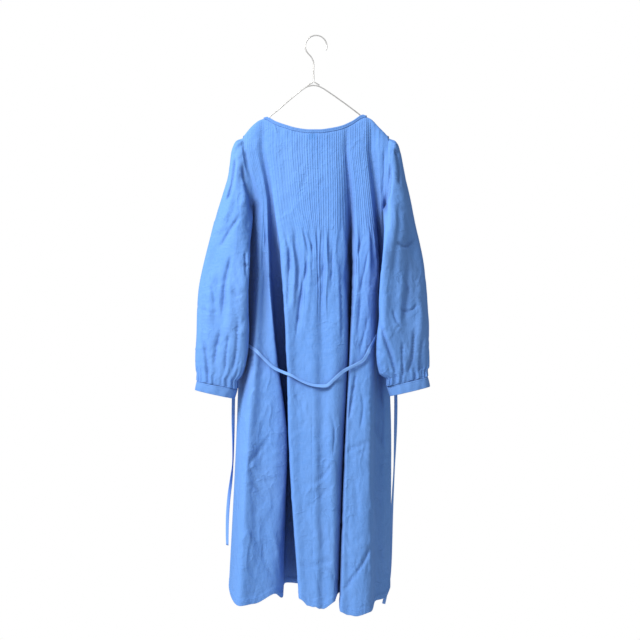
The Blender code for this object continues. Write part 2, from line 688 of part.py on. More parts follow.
def build_binding(back, front):
    """Make the narrow band that stands on the neckline's raw edge.

    Args:
        back: the back's middle face.
        front: the fronts' middle face.
    """
    ring, rise = [], []
    for edge, turn_x in ((back[:, 0], NECK_RIGHT + BINDING_TURN), (front[:, 0], NECK_LEFT - BINDING_TURN)):
        neck = edge[(edge[:, 0] > NECK_LEFT) & (edge[:, 0] < NECK_RIGHT)]
        ring += list(neck) + [np.array((turn_x, 0.0, neck[-1, 2]))]
        rise += [CLOTH / 2] + [0.0] * (len(neck) - 2) + [CLOTH / 2, CLOTH]
    ring = np.array(ring)
    out = np.cross(steps_along(ring, 0, closed=True) * (1, 1, 0), (0, 0, 1.0))
    foot = ring + np.array([0, 0, 1.0]) * (np.array(rise)[:, None] + SEAM_GAP)
    head = ring + np.array([0, 0, BINDING_HEIGHT])
    half = unit(out) * BINDING_WALL / 2
    outer = np.stack([head + half, foot + half], axis=1)
    inner = np.stack([head - half, foot - half], axis=1)
    grid_shell("neck_binding", inner, outer, "trim", closed=True)


def build_label(body):
    """Hang a blank label inside the back of the neck."""
    width, height = LABEL_SIZE
    across, middle = LABEL_PLACE
    _, stand = body.top_at(across)
    near = -stand + CLOTH / 2 + SEAM_GAP
    points = []
    for y in (near, near + LABEL_THICKNESS):
        for x, z in ((-1, -1), (1, -1), (1, 1), (-1, 1)):
            points.append((across + x * width / 2, y, middle + z * height / 2))
    faces = ((0, 1, 2, 3), (7, 6, 5, 4), (0, 4, 5, 1), (1, 5, 6, 2), (2, 6, 7, 3), (3, 7, 4, 0))
    add_mesh("neck_label", points, faces, "trim", smooth=False)


def strip(name, route, widths, wide, thick, finish):
    """Make a flat strip of cloth along a route.

    Args:
        name: the object's name.
        route: points along the middle.
        widths: the direction across the strip at each point.
        wide: the strip's width.
        thick: its thickness.
        finish: the material's name.
    """
    along = steps_along(route, 0)
    across = unit(widths - along * np.sum(widths * along, axis=1, keepdims=True))
    rise = np.cross(along, across) * thick / 2
    edge = across * wide / 2
    outer = np.stack([route + edge, route - edge], axis=1) + rise[:, None]
    inner = np.stack([route + edge, route - edge], axis=1) - rise[:, None]
    return grid_shell(name, inner, outer, finish)


def foremost(skin, across, height):
    """Return how far forward the cloth stands behind a stretch of belt.

    Args:
        skin: the back's outer points in columns and rows.
        across: the stretch's place.
        height: its height.
    """
    found = []
    for column in skin:
        for level in (height - BELT_WIDTH, height, height + BELT_WIDTH):
            x, y, _ = read_along(column, column, level)
            if abs(x - across) < BELT_REACH:
                found.append(y)
    return min(found)


def side_place(skin, column, height):
    """Return a point on the back's side and the level way that the cloth faces there."""
    foot = read_along(skin[column], skin[column], height)
    along = read_along(skin[column], skin[column + 1] - skin[column - 1], height)
    return foot, unit(np.array([along[1], -along[0], 0.0]))


def build_belt(skin):
    """Run the belt through its side loops and across the back's folds, with its two ends hanging.

    Args:
        skin: the back's outer points, which the belt rests on.
    """
    held = []
    for name, column, height in LOOPS:
        foot, out = side_place(skin, column, height)
        run = np.array([-out[1], out[0], 0.0]) * math.copysign(LOOP_RUN, out[0])
        held.append([foot + out * LOOP_BELT_OFFSET + run * step for step in (1, 0, -1)])
        near = SEAM_GAP + LOOP_WALL / 2
        rise = np.array([0, 0, LOOP_SPAN / 2])
        bend = np.array([foot + rise + out * near, foot + rise + out * LOOP_REACH,
                         foot - rise + out * LOOP_REACH, foot - rise + out * near])
        strip(name, bend, np.tile(run, (4, 1)), LOOP_WIDTH, LOOP_WALL, "belt")
    span = np.array([(x, foremost(skin, x, z) - BELT_CLEARANCE, z) for x, z in BELT_SPAN], float)
    for _ in range(2):
        span[1:-1, 1] = np.minimum(span[1:-1, 1], (span[:-2, 1] + span[2:, 1]) / 2)
    round_side = [foot + out * LOOP_BELT_OFFSET for foot, out in
                  (side_place(skin, column, height) for column, height in BELT_ROUND_SIDE)]
    left, right = (np.array(table, float) for table in (BELT_LEFT_END[::-1], BELT_RIGHT_END))
    middle = np.concatenate([held[0], round_side, span, held[1][::-1]])
    widths = [np.column_stack([np.cos(turn), np.sin(turn), np.zeros(len(turn))])
              for turn in (np.radians(end[:, 3]) for end in (left, right))]
    upright = np.tile((0.0, 0.0, 1.0), (len(middle), 1))
    strip("belt", np.concatenate([left[:, :3], middle, right[:, :3]]),
          np.concatenate([widths[0], upright, widths[1]]), BELT_WIDTH, BELT_THICKNESS, "belt")


def tube(name, route, radius, sides, finish):
    """Make a round wire along a route in the middle plane, with flat closed ends."""
    route = np.asarray(route, float)
    flat = np.array([0.0, 1.0, 0.0])
    points, faces = [], []
    for place, way in zip(route, steps_along(route, 0)):
        up = unit(np.cross(way, flat))
        for step in range(sides):
            turn = 2 * math.pi * step / sides
            points.append(place + (up * math.cos(turn) + flat * math.sin(turn)) * radius)
    for ring in range(len(route) - 1):
        for step in range(sides):
            a, b = ring * sides + step, ring * sides + (step + 1) % sides
            faces.append((a, b, b + sides, a + sides))
    faces.append(tuple(reversed(range(sides))))
    faces.append(tuple((len(route) - 1) * sides + step for step in range(sides)))
    return add_mesh(name, points, faces, finish)


def build_hanger(back):
    """Make the hanger: a bent bow under the shoulders, and the hook's wire standing on it."""
    arms = [[(x, 0.0, back.top_at(x)[0] - WIRE_BELOW_SHOULDER) for x in side]
            for side in (ARM_LEFT, ARM_RIGHT)]
    middle = [(x, 0.0, z) for x, z in BOW_MIDDLE]
    tube("hanger_bow", arms[0] + middle + arms[1], WIRE_RADIUS, WIRE_SIDES, "wire")
    radius = HOOK_INNER_RADIUS + WIRE_RADIUS
    hook = [(radius * math.cos(turn), 0.0, radius * math.sin(turn) - HOOK_INNER_RADIUS)
            for turn in (math.radians(degrees) for degrees in HOOK_ARC)]
    hook += [(HOOK_STEM_X + x, 0.0, z) for x, z in HOOK_NECK]
    hook.append((HOOK_STEM_X, 0.0, HOOK_JOIN))
    hook += [(HOOK_STEM_X + x, 0.0, HOOK_JOIN + z) for x, z in (LEG_BEND, LEG_FOOT)]
    tube("hanger_hook", hook, WIRE_RADIUS, WIRE_SIDES, "wire")
    leg = [(HOOK_STEM_X + x, 0.0, HOOK_JOIN + z) for x, z in (LEG_START, (-LEG_FOOT[0], LEG_FOOT[1]))]
    tube("hanger_leg", leg, WIRE_RADIUS, WIRE_SIDES, "wire")


def main():
    """Build every piece."""
    clear_scene()
    back_body = Body(BACK_LINES, FRONT_LINES, BACK_TOP, -1)
    front_body = Body(FRONT_LINES, BACK_LINES, FRONT_TOP, 1)
    back, skin = build_back(back_body)
    front = build_fronts(front_body)
    for side in ("left", "right"):
        build_sleeve(side, back, front)
    build_binding(back, front)
    build_label(back_body)
    build_belt(skin)
    build_hanger(back_body)


if __name__ == "__main__":
    main()
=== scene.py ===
"""A long shirt dress of thin blue cloth, hung by its shoulders on a plain wire hanger.

The dress shows its back: fine pressed tucks over the yoke are let go into deep hanging folds, the
long sleeves are pleated at the cap and gathered into narrow cuffs, and a flat tie runs across the
folds between two side loops.  Each cloth piece is a thin shell on its own solid's form, with its
creases placed one by one.  Lengths in the tables are millimetres.
"""

import logging
import math
from dataclasses import dataclass, field
from enum import Enum
from typing import Iterable, Sequence

import bpy
import numpy as np
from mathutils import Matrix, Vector

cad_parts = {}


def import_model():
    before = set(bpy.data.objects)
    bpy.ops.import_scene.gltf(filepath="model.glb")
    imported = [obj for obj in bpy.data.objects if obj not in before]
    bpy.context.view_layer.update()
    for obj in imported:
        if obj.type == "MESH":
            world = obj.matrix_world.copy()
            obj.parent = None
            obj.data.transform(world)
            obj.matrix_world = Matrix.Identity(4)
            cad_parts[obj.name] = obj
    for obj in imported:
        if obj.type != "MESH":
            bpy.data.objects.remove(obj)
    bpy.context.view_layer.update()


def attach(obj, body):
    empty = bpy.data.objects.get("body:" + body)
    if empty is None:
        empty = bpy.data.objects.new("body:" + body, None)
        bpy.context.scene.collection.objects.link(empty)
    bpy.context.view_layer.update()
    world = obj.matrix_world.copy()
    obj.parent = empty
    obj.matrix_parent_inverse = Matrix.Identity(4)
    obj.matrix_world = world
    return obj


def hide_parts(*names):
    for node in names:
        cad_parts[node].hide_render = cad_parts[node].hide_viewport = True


LOG = logging.getLogger("shirt_dress")
MM = 0.001

Array = np.ndarray
Row = tuple[float, ...]
FoldLine = tuple[str, int, float, Row, Row]


class Side(Enum):
    """The side of the dress that a sleeve is on, as the viewer sees it."""

    LEFT = "left"
    RIGHT = "right"


class Panel(Enum):
    """Which side of the body's loop a panel belongs to, as the sign of its depth."""

    BACK = -1
    FRONT = 1


# Heights of the sections that the fold lines are drawn at
STATIONS: Row = (-272.0, -400.0, -530.0, -716.0, -966.0, -1310.0)

# The back's fold lines, left to right: name, columns of cloth up to the next line, hem height,
# then the place across and the depth at each station
BACK_LINES: tuple[FoldLine, ...] = (
    ("side_left", 4, -1292, (-170, -149, -166, -180, -189, -206), (0, 0, 10, 22, 25, 20)),
    ("left_outer", 3, -1318, (-157, -126, -130, -140, -158, -174), (-14, -20, -32, -58, -80, -100)),
    ("left_hollow", 3, -1315, (-147, -121, -120, -121, -130, -140), (-14, -20, -28, -53, -72, -92)),
    ("left_edge", 2, -1297, (-138, -115, -112, -95, -67, -96), (-14, -21, -35, -56, -62, -76)),
    ("left_turn", 3, -1312, (-133, -111, -107, -97, -68, -78), (-12, -16, -22, -24, -40, -52)),
    ("gap_one_left", 2, -1293, (-128, -107, -102, -91, -66, -74), (-10, -11, -3, 14, 16, 12)),
    ("gap_one_right", 4, -1295, (-122, -102, -84, -66, -54, -38), (-10, -11, 0, 14, 16, 12)),
    ("middle_left", 9, -1299, (-112, -96, -79, -66, -58, -34), (-15, -27, -50, -72, -92, -112)),
    ("crease_one", 9, -1314, (-72, -60, -38, -44, -36, -18), (-17, -32, -52, -70, -92, -114)),
    ("middle_crest", 12, -1317, (-38, -28, -9, -13, -9, -2), (-18, -34, -54, -73, -95, -116)),
    ("crease_two", 11, -1322, (9, 12, 14, 15, 14, 16), (-17, -33, -52, -71, -92, -114)),
    ("middle_right", 4, -1306, (49, 52, 50, 50, 43, 41), (-16, -30, -50, -72, -92, -112)),
    ("gap_two_slope", 3, -1292, (63, 68, 71, 71, 60, 49), (-13, -22, -37, -60, -77, -97)),
    ("gap_two_floor", 4, -1295, (71, 81, 84, 80, 66, 54), (-9, -9, 2, -16, -44, -64)),
    ("right_left", 5, -1328, (80, 90, 91, 82, 69, 57), (-14, -25, -46, -66, -88, -112)),
    ("right_crease", 4, -1336, (92, 104, 109, 99, 78, 74), (-15, -26, -47, -64, -88, -113)),
    ("right_crest", 5, -1338, (105, 117, 127, 118, 97, 91), (-15, -26, -46, -62, -86, -114)),
    ("right_right", 3, -1331, (118, 131, 143, 136, 123, 122), (-14, -22, -32, -51, -79, -104)),
    ("side_hollow", 3, -1320, (128, 141, 150, 147, 143, 139), (-7, -4, 6, 6, -14, -44)),
    ("side_crest", 3, -1322, (150, 154, 157, 158, 163, 161), (-14, -11, 0, 4, 0, -16)),
    ("side_right", 0, -1303, (168, 165, 166, 171, 179, 176), (0, 0, 10, 22, 28, 24)),
)

# The two fronts' fold lines, which go on round from the right side seam to the left one
FRONT_LINES: tuple[FoldLine, ...] = (
    ("side_right", 3, -1300, (168, 165, 166, 171, 179, 176), (0, 0, 10, 22, 28, 24)),
    ("right_outer", 4, -1301, (150, 144, 145, 149, 154, 150), (14, 18, 30, 46, 66, 86)),
    ("right_pleat", 4, -1286, (124, 118, 116, 118, 118, 114), (14, 22, 27, 38, 48, 56)),
    ("right_front", 4, -1298, (90, 84, 82, 82, 82, 76), (14, 24, 36, 58, 76, 98)),
    ("right_dip", 4, -1292, (48, 46, 44, 42, 40, 38), (15, 25, 31, 42, 50, 58)),
    ("right_placket", 2, -1300, (12, 12, 12, 11, 10, 8), (15, 26, 38, 58, 77, 96)),
    ("centre_front", 2, -1300, (-2, -2, -2, -3, -4, -6), (15.5, 27, 39.5, 60, 79.5, 98.5)),
    ("left_placket", 4, -1300, (-16, -16, -16, -17, -18, -20), (15, 26, 38, 58, 77, 96)),
    ("left_dip", 4, -1292, (-52, -50, -48, -48, -50, -52), (15, 25, 31, 42, 50, 58)),
    ("left_front", 4, -1300, (-94, -86, -88, -90, -94, -98), (14, 24, 36, 58, 76, 98)),
    ("left_pleat", 4, -1288, (-128, -110, -116, -124, -130, -140), (14, 22, 27, 38, 48, 56)),
    ("left_far", 3, -1294, (-153, -130, -146, -154, -162, -176), (14, 18, 30, 46, 66, 84)),
    ("side_left", 0, -1284, (-170, -149, -166, -180, -189, -206), (0, 0, 10, 22, 25, 20)),
)

# The panels' top edges: place across, height, and how far the edge stands from the middle plane
BACK_TOP: tuple[Row, ...] = (
    (-173, -240, 2.8), (-164, -228, 2.8), (-152, -214, 2.8), (-142, -205, 2.8), (-133, -199, 2.8),
    (-121, -195.6, 2.8), (-94, -209, 8), (-70, -218, 12), (-46, -225, 14), (-16, -229, 15),
    (8, -229, 15), (32, -226, 14), (59, -220, 12), (83, -209, 8), (115, -191, 2.8),
    (129, -196, 2.8), (146, -213, 2.8), (160, -227, 2.8), (173, -241, 2.8),
)
FRONT_TOP: tuple[Row, ...] = (
    (-173, -240, 2.8), (-164, -228, 2.8), (-152, -214, 2.8), (-142, -205, 2.8), (-133, -199, 2.8),
    (-121, -195.6, 2.8), (-108, -216, 6), (-92, -240, 10), (-70, -262, 13), (-40, -278, 15),
    (-2, -284, 15), (36, -278, 15), (64, -260, 13), (86, -237, 10), (103, -212, 6),
    (115, -191, 2.8), (129, -196, 2.8), (146, -213, 2.8), (160, -227, 2.8), (173, -241, 2.8),
)
NECK: Row = (-121.0, 117.0)

# Armholes: height and place across along the edge from the shoulder tip to the underarm
UNDERARM = -397.0
ARMHOLE_SPREAD = 32.0
ARMHOLES: dict[str, tuple[Row, ...]] = {
    "left": ((-240, -172), (-272, -170), (-297, -167), (-345, -156), (-368, -151), (-397, -149)),
    "right": ((-241, 172), (-272, 169), (-296, 168), (-345, 166), (-368, 165), (-397, 165)),
}

# Sleeve sections from the shoulder down: outer point, inner point, depth of the middle, half depth
SLEEVES: dict[Side, tuple[tuple[Row, Row, float, float], ...]] = {
    Side.LEFT: (
        ((-186, -250), (-150.5, -402), -2, 19),
        ((-196, -275), (-150, -413), -5, 22),
        ((-204, -323), (-149, -431), -10, 27),
        ((-221, -379), (-150, -458), -18, 31),
        ((-238, -437), (-152, -493), -26, 34),
        ((-248, -485), (-151, -525), -31, 36),
        ((-257, -528), (-152, -556), -35, 37),
        ((-271, -600), (-154, -616), -40, 38),
        ((-276, -650), (-154.5, -662), -42, 38),
        ((-279, -698), (-156, -706), -43, 38),
        ((-282, -751), (-161, -757), -44, 34),
        ((-279, -785), (-170, -795), -44, 27),
    ),
    Side.RIGHT: (
        ((185, -250), (162, -402), -2, 19),
        ((195, -270), (159, -413), -5, 22),
        ((209, -325), (158, -431), -10, 26),
        ((223, -379), (157.5, -458), -18, 30),
        ((235, -442), (155, -489), -27, 33),
        ((243, -487), (151, -525), -33, 36),
        ((249, -528), (147, -560), -38, 37),
        ((256, -600), (143, -623), -43, 38),
        ((260, -645), (145, -665), -45, 38),
        ((264, -686), (142, -706), -47, 38),
        ((265, -740), (141, -744), -47, 34),
        ((263, -779), (148, -792), -46, 27),
    ),
}
CUFFS: dict[Side, tuple[tuple[Row, Row], tuple[Row, Row], float]] = {
    Side.LEFT: (((-276, -812), (-182, -830)), ((-280, -832), (-189, -852)), -44.0),
    Side.RIGHT: (((259, -802), (164, -823)), ((264, -824), (172, -846)), -46.0),
}


@dataclass(frozen=True)
class Crease:
    """A fold pressed or hung into the cloth, drawn on the middle plane as the viewer sees it.

    A positive height is a ridge and a negative one a trough.  Its section is a round bell, and
    both of its ends die away.
    """

    path: tuple[Row, ...]
    width: float
    height: float


# The share of a crease's length over which each of its ends dies away
CREASE_ENDS = 0.22

# How small scattered creases lie: turns in degrees and how far these stray, half lengths and widths
CRUMPLE_TURNS: Row = (90.0, 62.0, 118.0, 35.0, 145.0, 8.0)
CRUMPLE_STRAY = 14.0
CRUMPLE_REACH: Row = (14.0, 42.0)
CRUMPLE_WIDTHS: Row = (2.8, 6.5)

# Creases of the near panel below and beside the tucks
BACK_CREASES: tuple[Crease, ...] = (
    Crease(((-26, -490), (-24, -543), (-33, -597), (-40, -651), (-49, -725)), 4.0, -5.5),
    Crease(((-14, -505), (-14, -560), (-22, -640), (-30, -720)), 8.0, 3.0),
    Crease(((13, -492), (17, -560), (12, -650), (16, -760)), 6.0, -2.2),
    Crease(((36, -470), (38, -530), (36, -600)), 3.6, -3.0),
    Crease(((26, -480), (28, -560), (25, -640)), 6.0, 2.2),
    Crease(((-168, -262), (-163, -300), (-152, -345), (-143, -386)), 4.5, -3.4),
    Crease(((163, -262), (161, -300), (159, -345), (158, -386)), 4.5, -3.4),
    Crease(((-58, -478), (-62, -520), (-64, -570)), 3.2, -2.6),
    Crease(((-8, -478), (-11, -520), (-9, -566)), 3.0, -2.2),
    Crease(((56, -560), (60, -640), (62, -740)), 3.6, -2.4),
    Crease(((110, -470), (97, -520), (88, -575)), 3.4, -3.2),
    Crease(((126, -500), (113, -560), (104, -610)), 3.4, -2.6),
    Crease(((-62, -490), (-64, -569), (-67, -650)), 6.0, -3.2),
    Crease(((-43, -540), (-43, -610)), 4.5, -2.0),
    Crease(((-52, -500), (-54, -580), (-57, -660)), 6.0, 2.4),
    Crease(((50, -515), (54, -623), (56, -717)), 5.0, 2.6),
    Crease(((-41, -1243), (-20, -1250), (9, -1243), (45, -1234)), 4.0, -2.4),
    Crease(((-105, -930), (-120, -960), (-138, -984), (-157, -1012), (-148, -1034), (-136, -1052)),
           5.0, -3.2),
    Crease(((-173, -1063), (-146, -1060), (-131, -1078), (-115, -1106)), 3.6, -2.8),
    Crease(((-134, -1052), (-112, -1050), (-88, -1044)), 3.4, -2.0),
    Crease(((-11, -1058), (21, -1034), (40, -1003)), 3.6, -2.4),
    Crease(((6, -1090), (26, -1070), (46, -1050)), 3.6, -2.4),
    Crease(((-30, -1084), (-8, -1066), (10, -1056)), 3.6, 1.8),
    Crease(((30, -880), (44, -930), (38, -990)), 4.0, -2.4),
    Crease(((-132, -1180), (-120, -1240), (-96, -1290)), 4.0, -2.6),
    Crease(((-110, -1150), (-90, -1210), (-84, -1292)), 4.0, 2.6),
    Crease(((20, -1255), (38, -1268), (44, -1282)), 3.4, -2.2),
    Crease(((128, -1150), (127, -1230), (130, -1320)), 3.6, 2.4),
    Crease(((145, -1190), (157, -1240), (165, -1290)), 4.0, -3.0),
    Crease(((150, -830), (158, -900), (154, -960)), 4.0, -2.6),
    Crease(((126, -655), (114, -705), (103, -752)), 4.0, -3.0),
    Crease(((106, -600), (104, -650), (98, -700)), 4.0, -2.4),
    Crease(((-151, -724), (-151, -858)), 4.0, -2.4),
    Crease(((97, -783), (84, -865), (77, -909)), 4.0, -3.8),
    Crease(((66, -986), (96, -968), (128, -953)), 3.6, -3.2),
    Crease(((74, -1000), (98, -988), (122, -984)), 3.6, -2.0),
    Crease(((138, -900), (148, -940), (163, -980)), 3.8, -3.0),
    Crease(((132, -1190), (116, -1232), (97, -1264), (56, -1318)), 4.0, -4.2),
    Crease(((68, -1245), (84, -1256), (98, -1240)), 3.6, -2.2),
    Crease(((100, -810), (112, -870), (104, -930)), 4.0, -2.6),
    Crease(((127, -740), (127, -928), (127, -1093), (138, -1140), (140, -1191)), 5.0, 2.6),
    Crease(((-9, -834), (-9, -928), (-9, -1022), (-8, -1187), (-7, -1328)), 2.2, -1.3),
    Crease(((-6, -300), (-30, -345), (-52, -400)), 9.0, -1.1),
    Crease(((-52, -1060), (-34, -1090), (-12, -1100)), 7.0, 1.4),
    Crease(((20, -1000), (30, -1080), (26, -1160)), 9.0, -1.6),
    Crease(((-128, -1120), (-118, -1180), (-124, -1250)), 9.0, -1.8),
    Crease(((-175, -1150), (-150, -1200), (-150, -1270)), 7.0, 1.8),
    Crease(((88, -1020), (96, -1100), (90, -1180)), 8.0, -1.8),
    Crease(((-84, -900), (-96, -980), (-100, -1060)), 8.0, 1.8),
    Crease(((0, -1150), (12, -1230), (8, -1300)), 7.0, 1.4),
)

# Similar creases that the far panels take under the same weight
FRONT_CREASES: tuple[Crease, ...] = (
    Crease(((30, -420), (34, -520), (38, -640)), 8.0, -2.4),
    Crease(((-34, -430), (-38, -540), (-42, -650)), 8.0, -2.4),
    Crease(((96, -380), (100, -500), (104, -620)), 8.0, -2.0),
    Crease(((-104, -390), (-108, -500), (-112, -610)), 8.0, -2.0),
    Crease(((60, -620), (64, -760), (60, -900)), 9.0, 2.0),
    Crease(((-70, -650), (-72, -780), (-68, -910)), 9.0, 2.0),
    Crease(((116, -940), (96, -990), (104, -1060)), 7.0, -2.0),
    Crease(((-120, -960), (-98, -1010), (-110, -1090)), 7.0, -2.0),
    Crease(((50, -1130), (60, -1200), (56, -1270)), 7.0, -1.8),
    Crease(((-60, -1120), (-66, -1200), (-60, -1270)), 7.0, -1.8),
    Crease(((10, -300), (50, -350), (84, -420)), 9.0, -1.0),
    Crease(((-14, -300), (-56, -352), (-88, -420)), 9.0, -1.0),
    Crease(((-150, -392), (-120, -440), (-84, -476)), 6.0, -1.8),
    Crease(((150, -392), (124, -446), (96, -470)), 6.0, -1.8),
    Crease(((26, -700), (44, -760), (40, -830)), 5.0, -1.8),
    Crease(((-46, -730), (-28, -780), (-34, -850)), 5.0, -1.6),
    Crease(((84, -900), (72, -940), (50, -955)), 4.0, -1.6),
    Crease(((-84, -1010), (-66, -1050), (-40, -1060)), 4.0, -1.6),
    Crease(((128, -1120), (108, -1180), (116, -1260)), 5.0, -2.0),
    Crease(((-140, -1130), (-120, -1190), (-130, -1262)), 5.0, -2.0),
    Crease(((60, -520), (76, -566), (72, -640)), 5.0, -1.8),
    Crease(((-70, -500), (-84, -560), (-80, -620)), 5.0, -1.8),
)

SLEEVE_CREASES: dict[Side, tuple[Crease, ...]] = {
    Side.LEFT: (
        Crease(((-188, -280), (-195, -325), (-203, -365), (-212, -392)), 4.0, -4.6),
        Crease(((-176, -420), (-204, -460), (-232, -503)), 4.4, -3.2),
        Crease(((-198, -512), (-207, -545), (-215, -580), (-219, -620), (-222, -668)), 5.0, -4.0),
        Crease(((-226, -690), (-236, -735), (-241, -785)), 4.6, -3.4),
        Crease(((-167, -505), (-166, -540), (-164, -574)), 3.4, -2.6),
        Crease(((-170, -535), (-160, -545)), 3.0, -2.4),
        Crease(((-183, -650), (-188, -740), (-197, -800)), 5.0, -3.4),
        Crease(((-263, -613), (-266, -693), (-258, -760)), 5.0, -2.4),
        Crease(((-205, -560), (-203, -640), (-210, -720)), 10.0, 3.6),
        Crease(((-240, -540), (-250, -610), (-252, -690)), 9.0, 3.0),
        Crease(((-198, -380), (-214, -430), (-232, -470)), 9.0, 2.6),
        Crease(((-172, -330), (-170, -370), (-176, -410)), 7.0, 2.2),
        Crease(((-175, -300), (-168, -345), (-158, -385)), 4.0, -3.4),
        Crease(((-255, -560), (-243, -600), (-238, -640)), 3.0, -2.0),
        Crease(((-268, -640), (-250, -652), (-232, -650)), 2.8, -1.6),
        Crease(((-200, -600), (-186, -612), (-172, -610)), 2.8, -1.8),
        Crease(((-205, -700), (-212, -745), (-214, -800)), 3.4, -3.0),
        Crease(((-262, -720), (-258, -770), (-256, -806)), 3.4, -2.8),
    ),
    Side.RIGHT: (
        Crease(((186, -262), (194, -306), (196, -355)), 4.0, -3.6),
        Crease(((189, -484), (210, -496), (237, -477)), 4.4, -3.0),
        Crease(((150, -676), (163, -716), (180, -762), (190, -815)), 4.8, -4.4),
        Crease(((193, -388), (195, -446), (188, -505), (183, -576)), 7.0, -2.6),
        Crease(((219, -519), (216, -599), (207, -680)), 7.0, -3.0),
        Crease(((233, -683), (228, -752), (216, -800)), 4.0, -3.6),
        Crease(((204, -560), (198, -640), (196, -710)), 10.0, 3.2),
        Crease(((240, -560), (246, -640), (244, -720)), 8.0, 2.4),
        Crease(((200, -400), (208, -450), (214, -480)), 9.0, 2.0),
        Crease(((166, -600), (160, -660), (164, -700)), 8.0, 2.0),
        Crease(((176, -300), (174, -345), (170, -390)), 4.0, -3.0),
        Crease(((196, -640), (222, -648), (240, -632)), 2.8, -2.0),
        Crease(((205, -560), (216, -585), (222, -610)), 2.8, -2.0),
        Crease(((180, -640), (190, -672), (206, -690)), 3.0, -2.0),
        Crease(((206, -720), (204, -765), (206, -812)), 3.4, -3.0),
        Crease(((252, -700), (247, -750), (244, -798)), 3.4, -2.6),
    ),
}


def unit(values: Array) -> Array:
    """Return vectors scaled to a length of one."""
    return values / np.maximum(np.linalg.norm(values, axis=-1, keepdims=True), 1e-9)


def soft_step(values: Array) -> Array:
    """Return an even ramp from 0 to 1 with soft ends."""
    share = np.clip(values, 0.0, 1.0)
    return share * share * (3.0 - 2.0 * share)


def follow(places: Sequence[float], values: Sequence[float], at: Array) -> Array:
    """Read a smooth curve through a table that never swings past its own values.

    Args:
        places: rising or falling places along the curve.
        values: the value at each place.
        at: places to read.

    Returns:
        The values there, held at the ends.
    """
    places = np.asarray(places, float)
    values = np.asarray(values, float)
    if places[0] > places[-1]:
        places, values = places[::-1], values[::-1]
    at = np.clip(np.asarray(at, float), places[0], places[-1])
    step = np.diff(places)
    slope = np.diff(values) / step
    tangent = np.zeros(len(places))
    tangent[0], tangent[-1] = slope[0], slope[-1]
    for i in range(1, len(places) - 1):
        before, after = slope[i - 1], slope[i]
        if before * after > 0:
            near, far = 2 * step[i] + step[i - 1], step[i] + 2 * step[i - 1]
            tangent[i] = (near + far) / (near / before + far / after)
    cell = np.clip(np.searchsorted(places, at, side="right") - 1, 0, len(step) - 1)
    t = (at - places[cell]) / step[cell]
    start, end = values[cell], values[cell + 1]
    rise_in, rise_out = tangent[cell] * step[cell], tangent[cell + 1] * step[cell]
    return (start * (2 * t ** 3 - 3 * t ** 2 + 1) + rise_in * (t ** 3 - 2 * t ** 2 + t)
            + end * (3 * t ** 2 - 2 * t ** 3) + rise_out * (t ** 3 - t ** 2))


def spline_between(before: Array, start: Array, end: Array, after: Array, share: float) -> Array:
    """Read a rounded curve between two points, given the point on each side of them.

    Args:
        before: the point before the first one.
        start: the first point.
        end: the second point.
        after: the point after it.
        share: how far along, from 0 to 1.

    Returns:
        The point there.
    """
    def knot(one: Array, two: Array) -> Array:
        """Return the spacing that keeps the curve from looping."""
        return np.sqrt(np.maximum(np.linalg.norm(two - one, axis=-1, keepdims=True), 1e-6))

    first, second, third = knot(before, start), knot(start, end), knot(end, after)
    leave = (start - before) / first - (end - before) / (first + second) + (end - start) / second
    arrive = (end - start) / second - (after - start) / (second + third) + (after - end) / third
    leave, arrive = leave * second, arrive * second
    t = share
    return (start * (2 * t ** 3 - 3 * t ** 2 + 1) + leave * (t ** 3 - 2 * t ** 2 + t)
            + end * (3 * t ** 2 - 2 * t ** 3) + arrive * (t ** 3 - t ** 2))


def rounded_path(points: Array, pieces: int) -> Array:
    """Return a rounded line through points, each stretch cut into the same number of pieces."""
    points = np.asarray(points, float)
    padded = np.concatenate([2 * points[:1] - points[1:2], points, 2 * points[-1:] - points[-2:-1]])
    line = []
    for i in range(len(points) - 1):
        for step in range(pieces):
            line.append(spline_between(*padded[i:i + 4], step / pieces))
    line.append(points[-1])
    return np.array(line)


def read_along(line: Array, values: Array, height: float) -> Array:
    """Return the values at a height of a line of points that goes down."""
    return np.array([np.interp(-height, -line[:, 2], values[:, k]) for k in range(values.shape[1])])


def steps_along(grid: Array, axis: int, closed: bool = False) -> Array:
    """Return each point's direction along one axis, halfway between its two steps."""
    ahead = unit(np.roll(grid, -1, axis=axis) - grid)
    behind = np.roll(ahead, 1, axis=axis)
    if not closed:
        first = [slice(None)] * grid.ndim
        last = [slice(None)] * grid.ndim
        first[axis], last[axis] = 0, -1
        behind[tuple(first)] = ahead[tuple(first)]
        ahead[tuple(last)] = behind[tuple(last)]
    return unit(ahead + behind)


def face_normals(grid: Array, closed: bool = False) -> Array:
    """Return the cloth's unit normals on a grid of columns and rows."""
    return unit(np.cross(steps_along(grid, 1), steps_along(grid, 0, closed)))


def tube_normals(grid: Array) -> Array:
    """Return the unit normals of a tube of cloth, turned to its outside."""
    normal = face_normals(grid, closed=True)
    if np.sum(normal * (grid - grid.mean(axis=0, keepdims=True))) < 0:
        normal = -normal
    return normal


def armhole_point(side: str, height: float, face: int) -> Array:
    """Place a point of an armhole's edge.

    Args:
        side: "left" or "right".
        height: its height, from the shoulder tip down to the underarm.
        face: -1 on the back's edge and 1 on the front's.

    Returns:
        The point in millimetres.
    """
    table = ARMHOLES[side]
    across = float(follow([row[0] for row in table], [row[1] for row in table], height))
    share = min(max((table[0][0] - height) / (table[0][0] - UNDERARM), 0.0), 1.0)
    return np.array([across, face * ARMHOLE_SPREAD * math.sqrt(share * (1.0 - share)), height])


